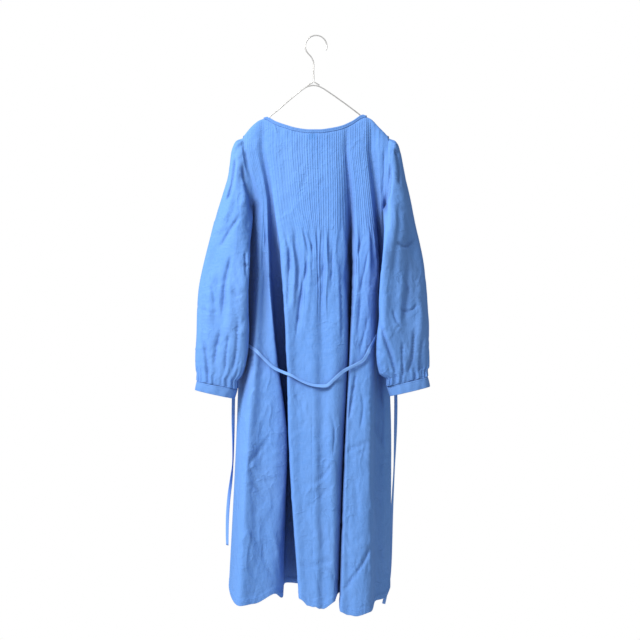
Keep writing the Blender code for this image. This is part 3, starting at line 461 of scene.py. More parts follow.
@dataclass(frozen=True)
class Viewpoint:
    """Where the dress is seen from: the lens stands level, square to the middle plane."""

    across: float = 9.4
    away: float = 2600.0
    height: float = -669.75
    lens: float = 62.0
    sensor: float = 36.0

    def seen(self, points: Array) -> Array:
        """Return where points fall on the middle plane, as the viewer sees them."""
        scale = self.away / (self.away + points[..., 1])
        middle = np.array([self.across, self.height])
        return middle + (points[..., (0, 2)] - middle) * scale[..., None]

    def set_camera(self) -> None:
        """Make the camera and use it for the scene."""
        data = bpy.data.cameras.new("camera")
        data.lens = self.lens
        data.sensor_width = self.sensor
        data.clip_end = 100.0
        camera = bpy.data.objects.new("camera", data)
        camera.location = (self.across * MM, -self.away * MM, self.height * MM)
        camera.rotation_euler = (math.pi / 2, 0.0, 0.0)
        bpy.context.scene.collection.objects.link(camera)
        bpy.context.scene.camera = camera


VIEWER = Viewpoint()


def crease_heights(points: Array, creases: Iterable[Crease], sample: int = 10) -> Array:
    """Work out how far creases raise or sink the cloth.

    Args:
        points: the cloth's points.
        creases: the creases drawn on the middle plane.
        sample: pieces that each stretch of a crease is cut into.

    Returns:
        One height for each point, in millimetres.
    """
    seen = VIEWER.seen(points)
    total = np.zeros(points.shape[:-1])
    for crease in creases:
        line = rounded_path(np.array(crease.path, float), sample)
        low = line.min(axis=0) - crease.width * 3
        high = line.max(axis=0) + crease.width * 3
        near = np.all((seen > low) & (seen < high), axis=-1)
        if not near.any():
            continue
        spots = seen[near]
        gaps = np.linalg.norm(spots[:, None, :] - line[None, :, :], axis=-1)
        nearest = gaps.argmin(axis=1)
        share = nearest / (len(line) - 1)
        fade = soft_step(share / CREASE_ENDS) * soft_step((1.0 - share) / CREASE_ENDS)
        reach = gaps[np.arange(len(spots)), nearest] / crease.width
        total[near] += crease.height * np.exp(-reach ** 2) * fade
    return total


def crumples(low: Row, high: Row, count: int, seed: int, height: float) -> list[Crease]:
    """Scatter small pressed creases over a piece, the same ones at each run.

    Args:
        low: the lowest place across and height.
        high: the highest ones.
        count: how many creases.
        seed: the number that the scatter starts from.
        height: the largest height or depth.

    Returns:
        The creases.
    """
    chance = np.random.RandomState(seed)
    made = []
    for _ in range(count):
        middle = np.array([chance.uniform(low[0], high[0]), chance.uniform(low[1], high[1])])
        turn = math.radians(chance.choice(CRUMPLE_TURNS) + chance.uniform(-CRUMPLE_STRAY, CRUMPLE_STRAY))
        way = np.array([math.cos(turn), math.sin(turn)])
        bend = np.array([-way[1], way[0]]) * chance.uniform(-5.0, 5.0)
        reach = chance.uniform(*CRUMPLE_REACH)
        path = (tuple(middle - way * reach), tuple(middle + bend), tuple(middle + way * reach))
        made.append(Crease(path, chance.uniform(*CRUMPLE_WIDTHS), height * chance.uniform(-1.0, 0.8)))
    return made


def ripple(places: Array, waves: Sequence[Row]) -> Array:
    """Add up a few sine waves, given as length, share and start, into an uneven ripple."""
    total = np.zeros(np.shape(places))
    for length, share, start in waves:
        total = total + share * np.sin(places * 2.0 * math.pi / length + start)
    return total


def new_object(name: str, points: Array, faces: list[tuple[int, ...]], finish: "Finish",
               smooth: bool = True, nodes: Sequence[str] = ()) -> bpy.types.Object:
    """Make a piece from points in millimetres, dress it and enter it in the frame.

    Args:
        name: the piece's name.
        points: rows of x, y and z in millimetres.
        faces: tuples of point numbers.
        finish: what it is made of.
        smooth: whether its faces are shaded smooth.
        nodes: the solids that it stands for.

    Returns:
        The new object.
    """
    corners = np.asarray(points, float).reshape(-1, 3) * MM
    mesh = bpy.data.meshes.new(name)
    mesh.from_pydata(corners.tolist(), [], faces)
    mesh.update()
    mesh.polygons.foreach_set("use_smooth", [smooth] * len(mesh.polygons))
    mesh.materials.append(finish.material())
    made = bpy.data.objects.new(name, mesh)
    bpy.context.scene.collection.objects.link(made)
    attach(made, "root")
    if nodes:
        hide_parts(*nodes)
    LOG.info("%s: %d faces", name, len(faces))
    return made


def shell_faces(columns: int, rows: int, coarse: int, closed: bool, flip: bool) -> list[tuple[int, ...]]:
    """Return the faces of a wall between an outer grid and a coarser inner one, with its rims closed.

    Args:
        columns: columns of the outer grid.
        rows: rows of the outer grid.
        coarse: how many of the outer grid's steps one step of the inner grid takes.
        closed: whether the columns run round into a tube.
        flip: whether to turn every face over.

    Returns:
        The faces as point numbers, the outer grid's points first.
    """
    shift = columns * rows
    inner_rows = (rows - 1) // coarse + 1
    inner_columns = columns // coarse if closed else (columns - 1) // coarse + 1
    faces: list[tuple[int, ...]] = []

    def outer(column: int, row: int) -> int:
        """Return an outer point's number."""
        return column % columns * rows + row

    def inner(column: int, row: int) -> int:
        """Return an inner point's number."""
        return shift + column % inner_columns * inner_rows + row

    for column in range(columns if closed else columns - 1):
        for row in range(rows - 1):
            faces.append((outer(column, row), outer(column + 1, row),
                          outer(column + 1, row + 1), outer(column, row + 1)))
    for column in range(inner_columns if closed else inner_columns - 1):
        for row in range(inner_rows - 1):
            faces.append((inner(column, row + 1), inner(column + 1, row + 1),
                          inner(column + 1, row), inner(column, row)))
        reach = range(column * coarse, column * coarse + coarse + 1)
        faces.append((inner(column, 0), inner(column + 1, 0), *(outer(k, 0) for k in reversed(reach))))
        foot = inner_rows - 1
        faces.append((inner(column + 1, foot), inner(column, foot), *(outer(k, rows - 1) for k in reach)))
    if not closed:
        for row in range(inner_rows - 1):
            reach = range(row * coarse, row * coarse + coarse + 1)
            far = inner_columns - 1
            faces.append((inner(0, row + 1), inner(0, row), *(outer(0, k) for k in reach)))
            side = (outer(columns - 1, k) for k in reversed(reach))
            faces.append((inner(far, row), inner(far, row + 1), *side))
    if flip:
        faces = [tuple(reversed(face)) for face in faces]
    return faces


def shell(name: str, inner: Array, outer: Array, finish: "Finish", nodes: Sequence[str],
          closed: bool = False, coarse: int = 1) -> bpy.types.Object:
    """Make a thin wall of cloth between two grids of the same size.

    Args:
        name: the piece's name.
        inner: grid of columns and rows on the inside.
        outer: grid on the outside.
        finish: what it is made of.
        nodes: the solids that it stands for.
        closed: whether the columns run round into a tube.
        coarse: how many steps of the outer side one step of the inner side takes.

    Returns:
        The new object.
    """
    columns, rows = outer.shape[:2]
    middle = outer[:-1, :-1].reshape(-1, 3)
    across = outer[1:, :-1].reshape(-1, 3) - middle
    down = outer[:-1, 1:].reshape(-1, 3) - middle
    out = (outer - inner)[:-1, :-1].reshape(-1, 3)
    flip = bool(np.sum(np.cross(across, down) * out) < 0)
    points = np.concatenate([outer.reshape(-1, 3), inner[::coarse, ::coarse].reshape(-1, 3)])
    return new_object(name, points, shell_faces(columns, rows, coarse, closed, flip), finish, nodes=nodes)


# Steps of a grid over which a wall's inner side draws in from its rims
RIM_STEPS = 4.0


def rim_ease(columns: int, rows: int, reach: float, closed: bool = False) -> Array:
    """Return 0 on a grid's rims and 1 some steps inside them."""
    row = np.arange(rows)
    ease = np.tile(np.clip(np.minimum(row, rows - 1 - row) / reach, 0.0, 1.0), (columns, 1))
    if not closed:
        column = np.arange(columns)
        ease = ease * np.clip(np.minimum(column, columns - 1 - column) / reach, 0.0, 1.0)[:, None]
    return ease


@dataclass(frozen=True)
class Finish:
    """What a piece is made of, and the record's slot for it."""

    name: str
    slot: str
    colour: tuple[float, float, float]
    roughness: float

    def material(self) -> bpy.types.Material:
        """Return the finish's material, made on its first use."""
        made = bpy.data.materials.get(self.name)
        if made is None:
            made = bpy.data.materials.new(self.name)
            made.use_nodes = True
            made.node_tree.nodes.clear()
            self.dress(made.node_tree)
        return made

    def shader(self, tree: bpy.types.NodeTree) -> bpy.types.Node:
        """Make the surface shader and its output."""
        surface = tree.nodes.new("ShaderNodeBsdfPrincipled")
        output = tree.nodes.new("ShaderNodeOutputMaterial")
        tree.links.new(surface.outputs["BSDF"], output.inputs["Surface"])
        surface.inputs["Base Color"].default_value = (*self.colour, 1.0)
        surface.inputs["Roughness"].default_value = self.roughness
        return surface

    def dress(self, tree: bpy.types.NodeTree) -> None:
        """Fill the node tree, which each kind of finish does in its own way."""
        self.shader(tree)


class NodeBench:
    """Short ways to lay out nodes in one tree."""

    def __init__(self, tree: bpy.types.NodeTree) -> None:
        """Keep the tree and the object's own coordinates."""
        self.tree = tree
        self.place = tree.nodes.new("ShaderNodeTexCoord").outputs["Object"]

    def link(self, start: bpy.types.NodeSocket, end: bpy.types.NodeSocket) -> None:
        """Join two sockets."""
        self.tree.links.new(start, end)

    def scaled(self, scale: Row) -> bpy.types.NodeSocket:
        """Return the object's coordinates, stretched along each axis."""
        node = self.tree.nodes.new("ShaderNodeMapping")
        node.inputs["Scale"].default_value = scale
        self.link(self.place, node.inputs["Vector"])
        return node.outputs["Vector"]

    def noise(self, scale: Row, detail: float = 3.0, rough: float = 0.55) -> bpy.types.NodeSocket:
        """Return cloudy noise, with its own count of waves a metre along each axis."""
        node = self.tree.nodes.new("ShaderNodeTexNoise")
        node.inputs["Scale"].default_value = 1.0
        node.inputs["Detail"].default_value = detail
        node.inputs["Roughness"].default_value = rough
        self.link(self.scaled(scale), node.inputs["Vector"])
        return node.outputs["Fac"]

    def creased(self, scale: Row, sharp: float) -> bpy.types.NodeSocket:
        """Return thin pressed lines that wander and die away, where cloudy noise crosses its middle."""
        cloud = self.noise(scale, 2.0, 0.45)
        away = self.sums("ABSOLUTE", self.sums("SUBTRACT", cloud, 0.5), 0.0)
        fall = self.sums("MULTIPLY", away, sharp * 2.0)
        line = self.sums("MAXIMUM", self.sums("SUBTRACT", 1.0, fall), 0.0)
        patch = self.noise(tuple(value * 0.6 for value in scale), 1.0)
        share = self.sums("MAXIMUM", self.sums("MULTIPLY", self.sums("SUBTRACT", patch, 0.42), 4.0), 0.0)
        return self.sums("MULTIPLY", line, self.sums("MINIMUM", share, 1.0))

    def painted_shade_share(self, reach: float, most: float) -> bpy.types.NodeSocket:
        """Return a share of painted shade where nearby cloth occludes a place, as in deep folds, up to a
        most.
        """
        node = self.tree.nodes.new("ShaderNodeAmbientOcclusion")
        node.samples = 6
        node.inputs["Distance"].default_value = reach
        return self.sums("MULTIPLY", self.sums("SUBTRACT", 1.0, node.outputs["AO"]), most)

    def threads(self, direction: str, spacing: float, wobble: float) -> bpy.types.NodeSocket:
        """Return a row of parallel threads.

        Args:
            direction: the axis that the threads follow one another along, "X" or "Z".
            spacing: their spacing in millimetres.
            wobble: how much they wander.

        Returns:
            Their height, from 0 to 1.
        """
        node = self.tree.nodes.new("ShaderNodeTexWave")
        node.wave_type = "BANDS"
        node.bands_direction = direction
        node.wave_profile = "SIN"
        node.inputs["Scale"].default_value = 0.314 / (spacing * MM)
        node.inputs["Distortion"].default_value = wobble
        node.inputs["Detail"].default_value = 1.0
        node.inputs["Detail Scale"].default_value = 0.4
        self.link(self.place, node.inputs["Vector"])
        return node.outputs["Fac"]

    def sums(self, kind: str, first: bpy.types.NodeSocket | float,
             second: bpy.types.NodeSocket | float) -> bpy.types.NodeSocket:
        """Return one sum of two sockets or numbers.

        Args:
            kind: Blender's name for the sum, such as "MULTIPLY".
            first: the first socket or number.
            second: the second one.

        Returns:
            The result's socket.
        """
        node = self.tree.nodes.new("ShaderNodeMath")
        node.operation = kind
        for socket, value in zip(node.inputs, (first, second)):
            if isinstance(value, (int, float)):
                socket.default_value = value
            else:
                self.link(value, socket)
        return node.outputs["Value"]

    def ramp(self, value: bpy.types.NodeSocket,
             stops: Sequence[tuple[float, tuple[float, float, float]]]) -> bpy.types.NodeSocket:
        """Return colours read from a value between 0 and 1."""
        node = self.tree.nodes.new("ShaderNodeValToRGB")
        while len(node.color_ramp.elements) < len(stops):
            node.color_ramp.elements.new(0.5)
        for element, (place, colour) in zip(node.color_ramp.elements, stops):
            element.position = place
            element.color = (*colour, 1.0)
        self.link(value, node.inputs["Fac"])
        return node.outputs["Color"]

    def blended(self, share: bpy.types.NodeSocket, first: bpy.types.NodeSocket | Row,
                second: bpy.types.NodeSocket | Row, how: str = "MIX") -> bpy.types.NodeSocket:
        """Return one colour blended into another by a share."""
        node = self.tree.nodes.new("ShaderNodeMix")
        node.data_type = "RGBA"
        node.blend_type = how
        self.link(share, node.inputs["Factor"])
        for socket, value in ((node.inputs[6], first), (node.inputs[7], second)):
            if isinstance(value, tuple):
                socket.default_value = (*value, 1.0)
            else:
                self.link(value, socket)
        return node.outputs[2]

    def bump(self, height: bpy.types.NodeSocket, strength: float, depth: float,
             under: bpy.types.NodeSocket | None = None) -> bpy.types.NodeSocket:
        """Return a normal raised by a height, over another one if given."""
        node = self.tree.nodes.new("ShaderNodeBump")
        node.inputs["Strength"].default_value = strength
        node.inputs["Distance"].default_value = depth * MM
        self.link(height, node.inputs["Height"])
        if under is not None:
            self.link(under, node.inputs["Normal"])
        return node.outputs["Normal"]


@dataclass(frozen=True)
class WovenCloth(Finish):
    """Thin plain-woven cotton and linen: uneven threads, slubs, soft crumples, a dry sheen and painted
    shade in its deep folds.
    """

    thread: float = 0.9
    crumple: float = 1.0
    sheen: float = 0.20
    # How dark and how far the painted shade reaches into deep folds
    shade_most: float = 0.77
    shade_reach: float = 0.055
    label_shadow: float = 0.0

    def dress(self, tree: bpy.types.NodeTree) -> None:
        """Lay out the weave's colour, threads and creases, and the painted shade in its deep folds."""
        surface = self.shader(tree)
        bench = NodeBench(tree)
        warp = bench.threads("X", self.thread, 1.2)
        weft = bench.threads("Z", self.thread * 1.1, 1.2)
        weave = bench.sums("MAXIMUM", warp, weft)
        slubs_across = bench.noise((60.0, 60.0, 1600.0), 2.0)
        slubs_down = bench.noise((1600.0, 900.0, 50.0), 2.0)
        slubs = bench.sums("ADD", slubs_across, slubs_down)
        cloud = bench.noise((9.0, 9.0, 5.0), 3.0)
        red, green, blue = self.colour
        deep = (red * 0.80, green * 0.88, blue * 0.94)
        pale = (min(red * 1.25, 1.0), min(green * 1.10, 1.0), min(blue * 1.04, 1.0))
        broad = bench.ramp(cloud, ((0.30, deep), (0.52, self.colour), (0.74, pale)))
        level = bench.sums("MULTIPLY", bench.sums("SUBTRACT", slubs, 0.72), 1.8)
        flecked = bench.blended(level, broad, pale)
        thready = bench.sums("MULTIPLY", bench.sums("SUBTRACT", 1.0, weave), 0.22)
        woven = bench.blended(thready, flecked, deep)
        # Painted shadow where the label inside the neck shows dark through the cloth
        if self.label_shadow:
            woven = bench.blended(self.label_shadow_patch(bench), woven, (red * 0.62, green * 0.80, blue * 0.84))
        # Painted shade: the colour is blended toward a dark purple-blue where nearby cloth occludes it, as
        # in deep folds
        painted_shade_colour = (red * 0.46, green * 0.17, blue * 0.17)
        shaded = bench.blended(bench.painted_shade_share(self.shade_reach, self.shade_most), woven, painted_shade_colour)
        bench.link(shaded, surface.inputs["Base Color"])
        soft = bench.noise((46.0, 46.0, 26.0), 3.0, 0.5)
        long_creases = bench.creased((15.0, 15.0, 6.0), 11.0)
        short_creases = bench.creased((30.0, 30.0, 40.0), 9.0)
        fine = bench.noise((150.0, 150.0, 110.0), 2.0)
        normal = bench.bump(soft, self.crumple * 0.40, 9.0)
        normal = bench.bump(long_creases, self.crumple * 0.65, 1.9, normal)
        normal = bench.bump(short_creases, self.crumple * 0.5, 1.2, normal)
        normal = bench.bump(fine, self.crumple * 0.25, 1.2, normal)
        normal = bench.bump(slubs, 0.18, 0.25, normal)
        normal = bench.bump(weave, 0.25, 0.12, normal)
        bench.link(normal, surface.inputs["Normal"])
        surface.inputs["Sheen Weight"].default_value = self.sheen
        surface.inputs["Sheen Roughness"].default_value = 0.5
        surface.inputs["Sheen Tint"].default_value = (*pale, 1.0)
        surface.inputs["Specular IOR Level"].default_value = 0.2

    def label_shadow_patch(self, bench: NodeBench) -> bpy.types.NodeSocket:
        """Return a soft square of painted shadow where the label inside the neck shows dark through the
        cloth.
        """
        split = bench.tree.nodes.new("ShaderNodeSeparateXYZ")
        bench.link(bench.place, split.inputs["Vector"])
        share: bpy.types.NodeSocket | float = self.label_shadow
        for axis, middle, half in (("X", -0.008, 0.010), ("Z", -0.240, 0.0065)):
            away = bench.sums("ABSOLUTE", bench.sums("SUBTRACT", split.outputs[axis], middle), 0.0)
            edge = bench.sums("DIVIDE", bench.sums("SUBTRACT", half + 0.001, away), 0.002)
            inside = bench.sums("MINIMUM", bench.sums("MAXIMUM", edge, 0.0), 1.0)
            share = bench.sums("MULTIPLY", share, inside)
        near = bench.sums("LESS_THAN", split.outputs["Y"], 0.0)
        return bench.sums("MULTIPLY", share, near)


@dataclass(frozen=True)
class SewingThread(Finish):
    """Matt twisted thread."""

    def dress(self, tree: bpy.types.NodeTree) -> None:
        """Twist the thread with fine slanted bands."""
        surface = self.shader(tree)
        bench = NodeBench(tree)
        fuzz = bench.noise((2200.0, 2200.0, 2200.0), 2.0)
        pale = tuple(min(value * 1.2, 1.0) for value in self.colour)
        bench.link(bench.ramp(fuzz, ((0.3, self.colour), (0.7, pale))), surface.inputs["Base Color"])
        bench.link(bench.bump(fuzz, 0.4, 0.1), surface.inputs["Normal"])
        surface.inputs["Specular IOR Level"].default_value = 0.2


@dataclass(frozen=True)
class ButtonPlastic(Finish):
    """Dyed plastic with a cloudy grain and a worn gloss."""

    def dress(self, tree: bpy.types.NodeTree) -> None:
        """Cloud the colour and wear the gloss."""
        surface = self.shader(tree)
        bench = NodeBench(tree)
        cloud = bench.noise((180.0, 420.0, 180.0), 4.0)
        pale = tuple(min(value * 1.35 + 0.04, 1.0) for value in self.colour)
        bench.link(bench.ramp(cloud, ((0.35, self.colour), (0.7, pale))), surface.inputs["Base Color"])
        worn = bench.noise((900.0, 900.0, 900.0), 3.0)
        rough = bench.sums("ADD", bench.sums("MULTIPLY", worn, 0.25), self.roughness - 0.1)
        bench.link(rough, surface.inputs["Roughness"])
        bench.link(bench.bump(worn, 0.08, 0.1), surface.inputs["Normal"])
        surface.inputs["Coat Weight"].default_value = 0.3


@dataclass(frozen=True)
class PlatedWire(Finish):
    """Drawn steel wire with a bright plating and fine draw marks."""

    def dress(self, tree: bpy.types.NodeTree) -> None:
        """Streak the gloss along the wire."""
        surface = self.shader(tree)
        bench = NodeBench(tree)
        streaks = bench.noise((700.0, 1500.0, 700.0), 3.0)
        tarnish = bench.noise((30.0, 30.0, 30.0), 4.0)
        dull = tuple(value * 0.78 for value in self.colour)
        bench.link(bench.ramp(tarnish, ((0.35, dull), (0.65, self.colour))), surface.inputs["Base Color"])
        rough = bench.sums("ADD", bench.sums("MULTIPLY", streaks, 0.2), self.roughness - 0.08)
        bench.link(rough, surface.inputs["Roughness"])
        bench.link(bench.bump(streaks, 0.1, 0.05), surface.inputs["Normal"])
        surface.inputs["Metallic"].default_value = 0.75


CLOTH = WovenCloth("thin_blue_cloth", "cloth", (0.150, 0.360, 0.860), 0.80)
TUCKED = WovenCloth("thin_blue_cloth_back", "cloth", (0.150, 0.360, 0.860), 0.80, label_shadow=0.45)
TRIM = WovenCloth("doubled_blue_cloth", "trim", (0.145, 0.340, 0.800), 0.78, crumple=0.35, shade_most=0.6)
TIE = WovenCloth("blue_tie_cloth", "belt", (0.200, 0.430, 0.930), 0.78, crumple=0.2, shade_most=0.25)
THREAD = SewingThread("blue_thread", "trim", (0.13, 0.32, 0.78), 0.80)
BUTTON = ButtonPlastic("dyed_button", "button", (0.17, 0.33, 0.72), 0.30)
WIRE = PlatedWire("plated_wire", "wire", (0.90, 0.89, 0.87), 0.32)


@dataclass
class StitchRow:
    """A row of machine stitches laid on the cloth."""

    length: float = 2.3
    pitch: float = 3.2
    radius: float = 0.22

    def add(self, line: Array, out: Array, points: list[Array], faces: list[tuple[int, ...]]) -> None:
        """Lay stitches along a line.

        Args:
            line: points along the row.
            out: the way that the cloth faces at each of them.
            points: the list that the stitches' corners join.
            faces: the list that their faces join.
        """
        spans = np.linalg.norm(np.diff(line, axis=0), axis=1)
        run = np.concatenate([[0.0], np.cumsum(spans)])
        for start in np.arange(self.pitch, run[-1] - self.pitch, self.pitch):
            ends = [np.array([np.interp(start + far, run, line[:, k]) for k in range(3)])
                    for far in (0.0, self.length)]
            facing = unit(np.array([np.interp(start, run, out[:, k]) for k in range(3)]))
            along = unit(ends[1] - ends[0])
            side = np.cross(along, facing) * self.radius
            rise = facing * self.radius
            first = sum(len(block) for block in points)
            middle = (ends[0] + ends[1]) / 2 + rise * 1.5
            corners = [ends[0] - rise * 0.5, middle - side, middle + rise * 0.6, middle + side,
                       ends[1] - rise * 0.5, middle - rise]
            points.append(np.array(corners))
            a, b, c, d, e, f = range(first, first + 6)
            faces += [(a, c, b), (a, d, c), (e, b, c), (e, c, d)]
            faces += [(a, b, f), (a, f, d), (e, f, b), (e, d, f)]


def stitches(name: str, rows: Iterable[tuple[Array, Array]]) -> bpy.types.Object:
    """Make one piece of all the rows of stitches given as a line and the way the cloth faces."""
    sewing = StitchRow()
    points: list[Array] = []
    faces: list[tuple[int, ...]] = []
    for line, out in rows:
        sewing.add(line, out, points, faces)
    return new_object(name, np.concatenate(points), faces, THREAD)


@dataclass
class Body:
    """One side of the closed loop of fold lines: the back, or the two fronts together."""

    lines: tuple[FoldLine, ...]
    others: tuple[FoldLine, ...]
    top: tuple[Row, ...]
    panel: Panel
    finer: int = 4
    row_count: int = 190
    wall: float = 0.8
    seam: float = 0.3
    hem_depth: float = 14.0
    hem_waves: tuple[Row, ...] = ((47.0, 0.6, 0.3), (31.0, 0.4, 1.9))
    edge_rows: Row = (0.0, 0.5, 1.1, 1.9, 2.9)
    edge_roll: float = 2.8
    edge_end: float = 4.0
    row_spread: float = 1.08
    side_ease: float = 40.0
    rim_columns: float = 6.0
    inner_ease: float = 0.5
    crease_pieces: int = 5
    stitch_drop: float = 2.5
    columns_of: dict[str, int] = field(default_factory=dict)

    @property
    def face(self) -> int:
        """Return the sign of the panel's depth."""
        return self.panel.value

    @property
    def sides(self) -> tuple[str, str]:
        """Return the armholes at the first and the last column."""
        return ("left", "right") if self.face < 0 else ("right", "left")

    def line_at(self, line: FoldLine, heights: Array) -> Array:
        """Return one fold line's x and y at each height, on the armhole above the underarm."""
        place = np.stack([follow(STATIONS, line[3], heights), follow(STATIONS, line[4], heights)], axis=-1)
        side = line[0].removeprefix("side_")
        if side in ARMHOLES:
            for row, height in enumerate(heights):
                if height > UNDERARM:
                    place[row] = armhole_point(side, height, self.face)[:2]
        return place

    def top_at(self, across: float) -> tuple[float, float]:
        """Return the top edge's height and its distance from the middle plane."""
        xs = [row[0] for row in self.top]
        return (float(follow(xs, [row[1] for row in self.top], across)),
                float(follow(xs, [row[2] for row in self.top], across)))

    def beyond(self, line: FoldLine, edge: Array, inner: Array, heights: Array) -> Array:
        """Return the point past a side seam: round the side below the underarm, straight on above."""
        below = np.clip((UNDERARM - np.asarray(heights, float)) / self.side_ease, 0.0, 1.0)[:, None]
        return (2 * edge - inner) * (1 - below) + self.line_at(line, heights) * below

    def section(self, cell: int, share: float, heights: Array) -> Array:
        """Return x and y of one column of cloth at each height, from the fold lines alone."""
        start = self.line_at(self.lines[cell], heights)
        end = self.line_at(self.lines[cell + 1], heights)
        if cell > 0:
            before = self.line_at(self.lines[cell - 1], heights)
        else:
            before = self.beyond(self.others[-2], start, end, heights)
        if cell + 2 < len(self.lines):
            after = self.line_at(self.lines[cell + 2], heights)
        else:
            after = self.beyond(self.others[1], end, start, heights)
        return spline_between(before, start, end, after, share)

    def heights(self, cell: int, share: float) -> tuple[float, Array]:
        """Return where a column starts across, and the heights of its rows."""
        across = float(self.section(cell, share, np.array([STATIONS[0]]))[0, 0])
        top, _ = self.top_at(across)
        turn = share * share * (3 - 2 * share)
        hem = self.lines[cell][2] * (1 - turn) + self.lines[cell + 1][2] * turn
        if 0 < cell + share < len(self.lines) - 1:
            hem += float(ripple(np.array(across), self.hem_waves))
        start, end = top - self.edge_end, hem + self.hem_depth
        drops = [top - drop for drop in self.edge_rows]
        shares = np.linspace(0.0, 1.0, self.row_count) ** self.row_spread
        body = start + (end - start) * shares
        foot = [hem + self.hem_depth - 1.2, hem + self.hem_depth * 0.5, hem + 1.0, hem]
        return across, np.concatenate([drops, body, foot])

    def column(self, cell: int, share: float) -> Array:
        """Return one column of the cloth's middle face, from its top edge to the hem."""
        across, heights = self.heights(cell, share)
        _, stand = self.top_at(across)
        place = self.section(cell, share, heights)
        yoke = self.section(cell, share, np.array([STATIONS[0]]))[0]
        start = heights[0] - self.edge_roll
        edge = self.face * stand
        for row, height in enumerate(heights):
            if height > STATIONS[0]:
                drop = max(start - height, 0.0) / max(start - STATIONS[0], 1.0)
                place[row, 0] = yoke[0]
                place[row, 1] = edge + (yoke[1] - edge) * drop ** 0.7
        if not NECK[0] <= across <= NECK[1]:
            fallen = heights[0] - heights
            roll = np.interp(fallen, (0.0, 1.0, self.edge_roll), (self.seam / 2, 2.0, self.edge_roll))
            rolled = fallen < self.edge_roll
            place[rolled, 1] = self.face * roll[rolled]
        points = np.column_stack([place, heights])
        at_first = cell == 0 and share == 0.0
        at_last = cell == len(self.lines) - 2 and share == 1.0
        if at_first or at_last:
            side = self.sides[0] if at_first else self.sides[1]
            for row, height in enumerate(heights):
                if height > UNDERARM:
                    points[row] = armhole_point(side, height, self.face)
                    points[row, 1] = self.face * max(abs(points[row, 1]), self.seam / 2)
                else:
                    points[row, 1] += self.face * self.seam / 2
        return points

    def grid(self) -> Array:
        """Return the middle face's points, and note the column of each fold line."""
        picked: list[tuple[int, float]] = []
        for cell, line in enumerate(self.lines):
            self.columns_of[line[0]] = len(picked)
            count = line[1] * self.finer
            picked += [(cell, step / count) for step in range(count)]
        picked.append((len(self.lines) - 2, 1.0))
        return np.array([self.column(cell, share) for cell, share in picked])

    def hem_fold(self, grid: Array) -> Array:
        """Return how much the turned-up hem thickens the wall at each point."""
        above = grid[..., 2] - grid[:, -1:, 2]
        return 0.5 * soft_step((self.hem_depth - above) / 1.2)

    def inside(self, grid: Array, normal: Array) -> Array:
        """Return the inner face of the wall, drawn in a little away from its rims."""
        ease = rim_ease(*grid.shape[:2], RIM_STEPS)
        return grid - normal * (self.wall / 2 + self.inner_ease * ease)[..., None]

    def sew_hem(self, name: str, panel: bpy.types.Object, grid: Array, normal: Array) -> None:
        """Stitch along the top of a panel's turned hem."""
        above = self.hem_depth - self.stitch_drop
        picked = [read_along(column, column, column[-1, 2] + above) for column in grid]
        facing = [read_along(column, out, column[-1, 2] + above) for column, out in zip(grid, normal)]
        line, out = np.array(picked), unit(np.array(facing))
        sewn = stitches(name, [(line[4:-4], out[4:-4])])
        sewn.parent = panel


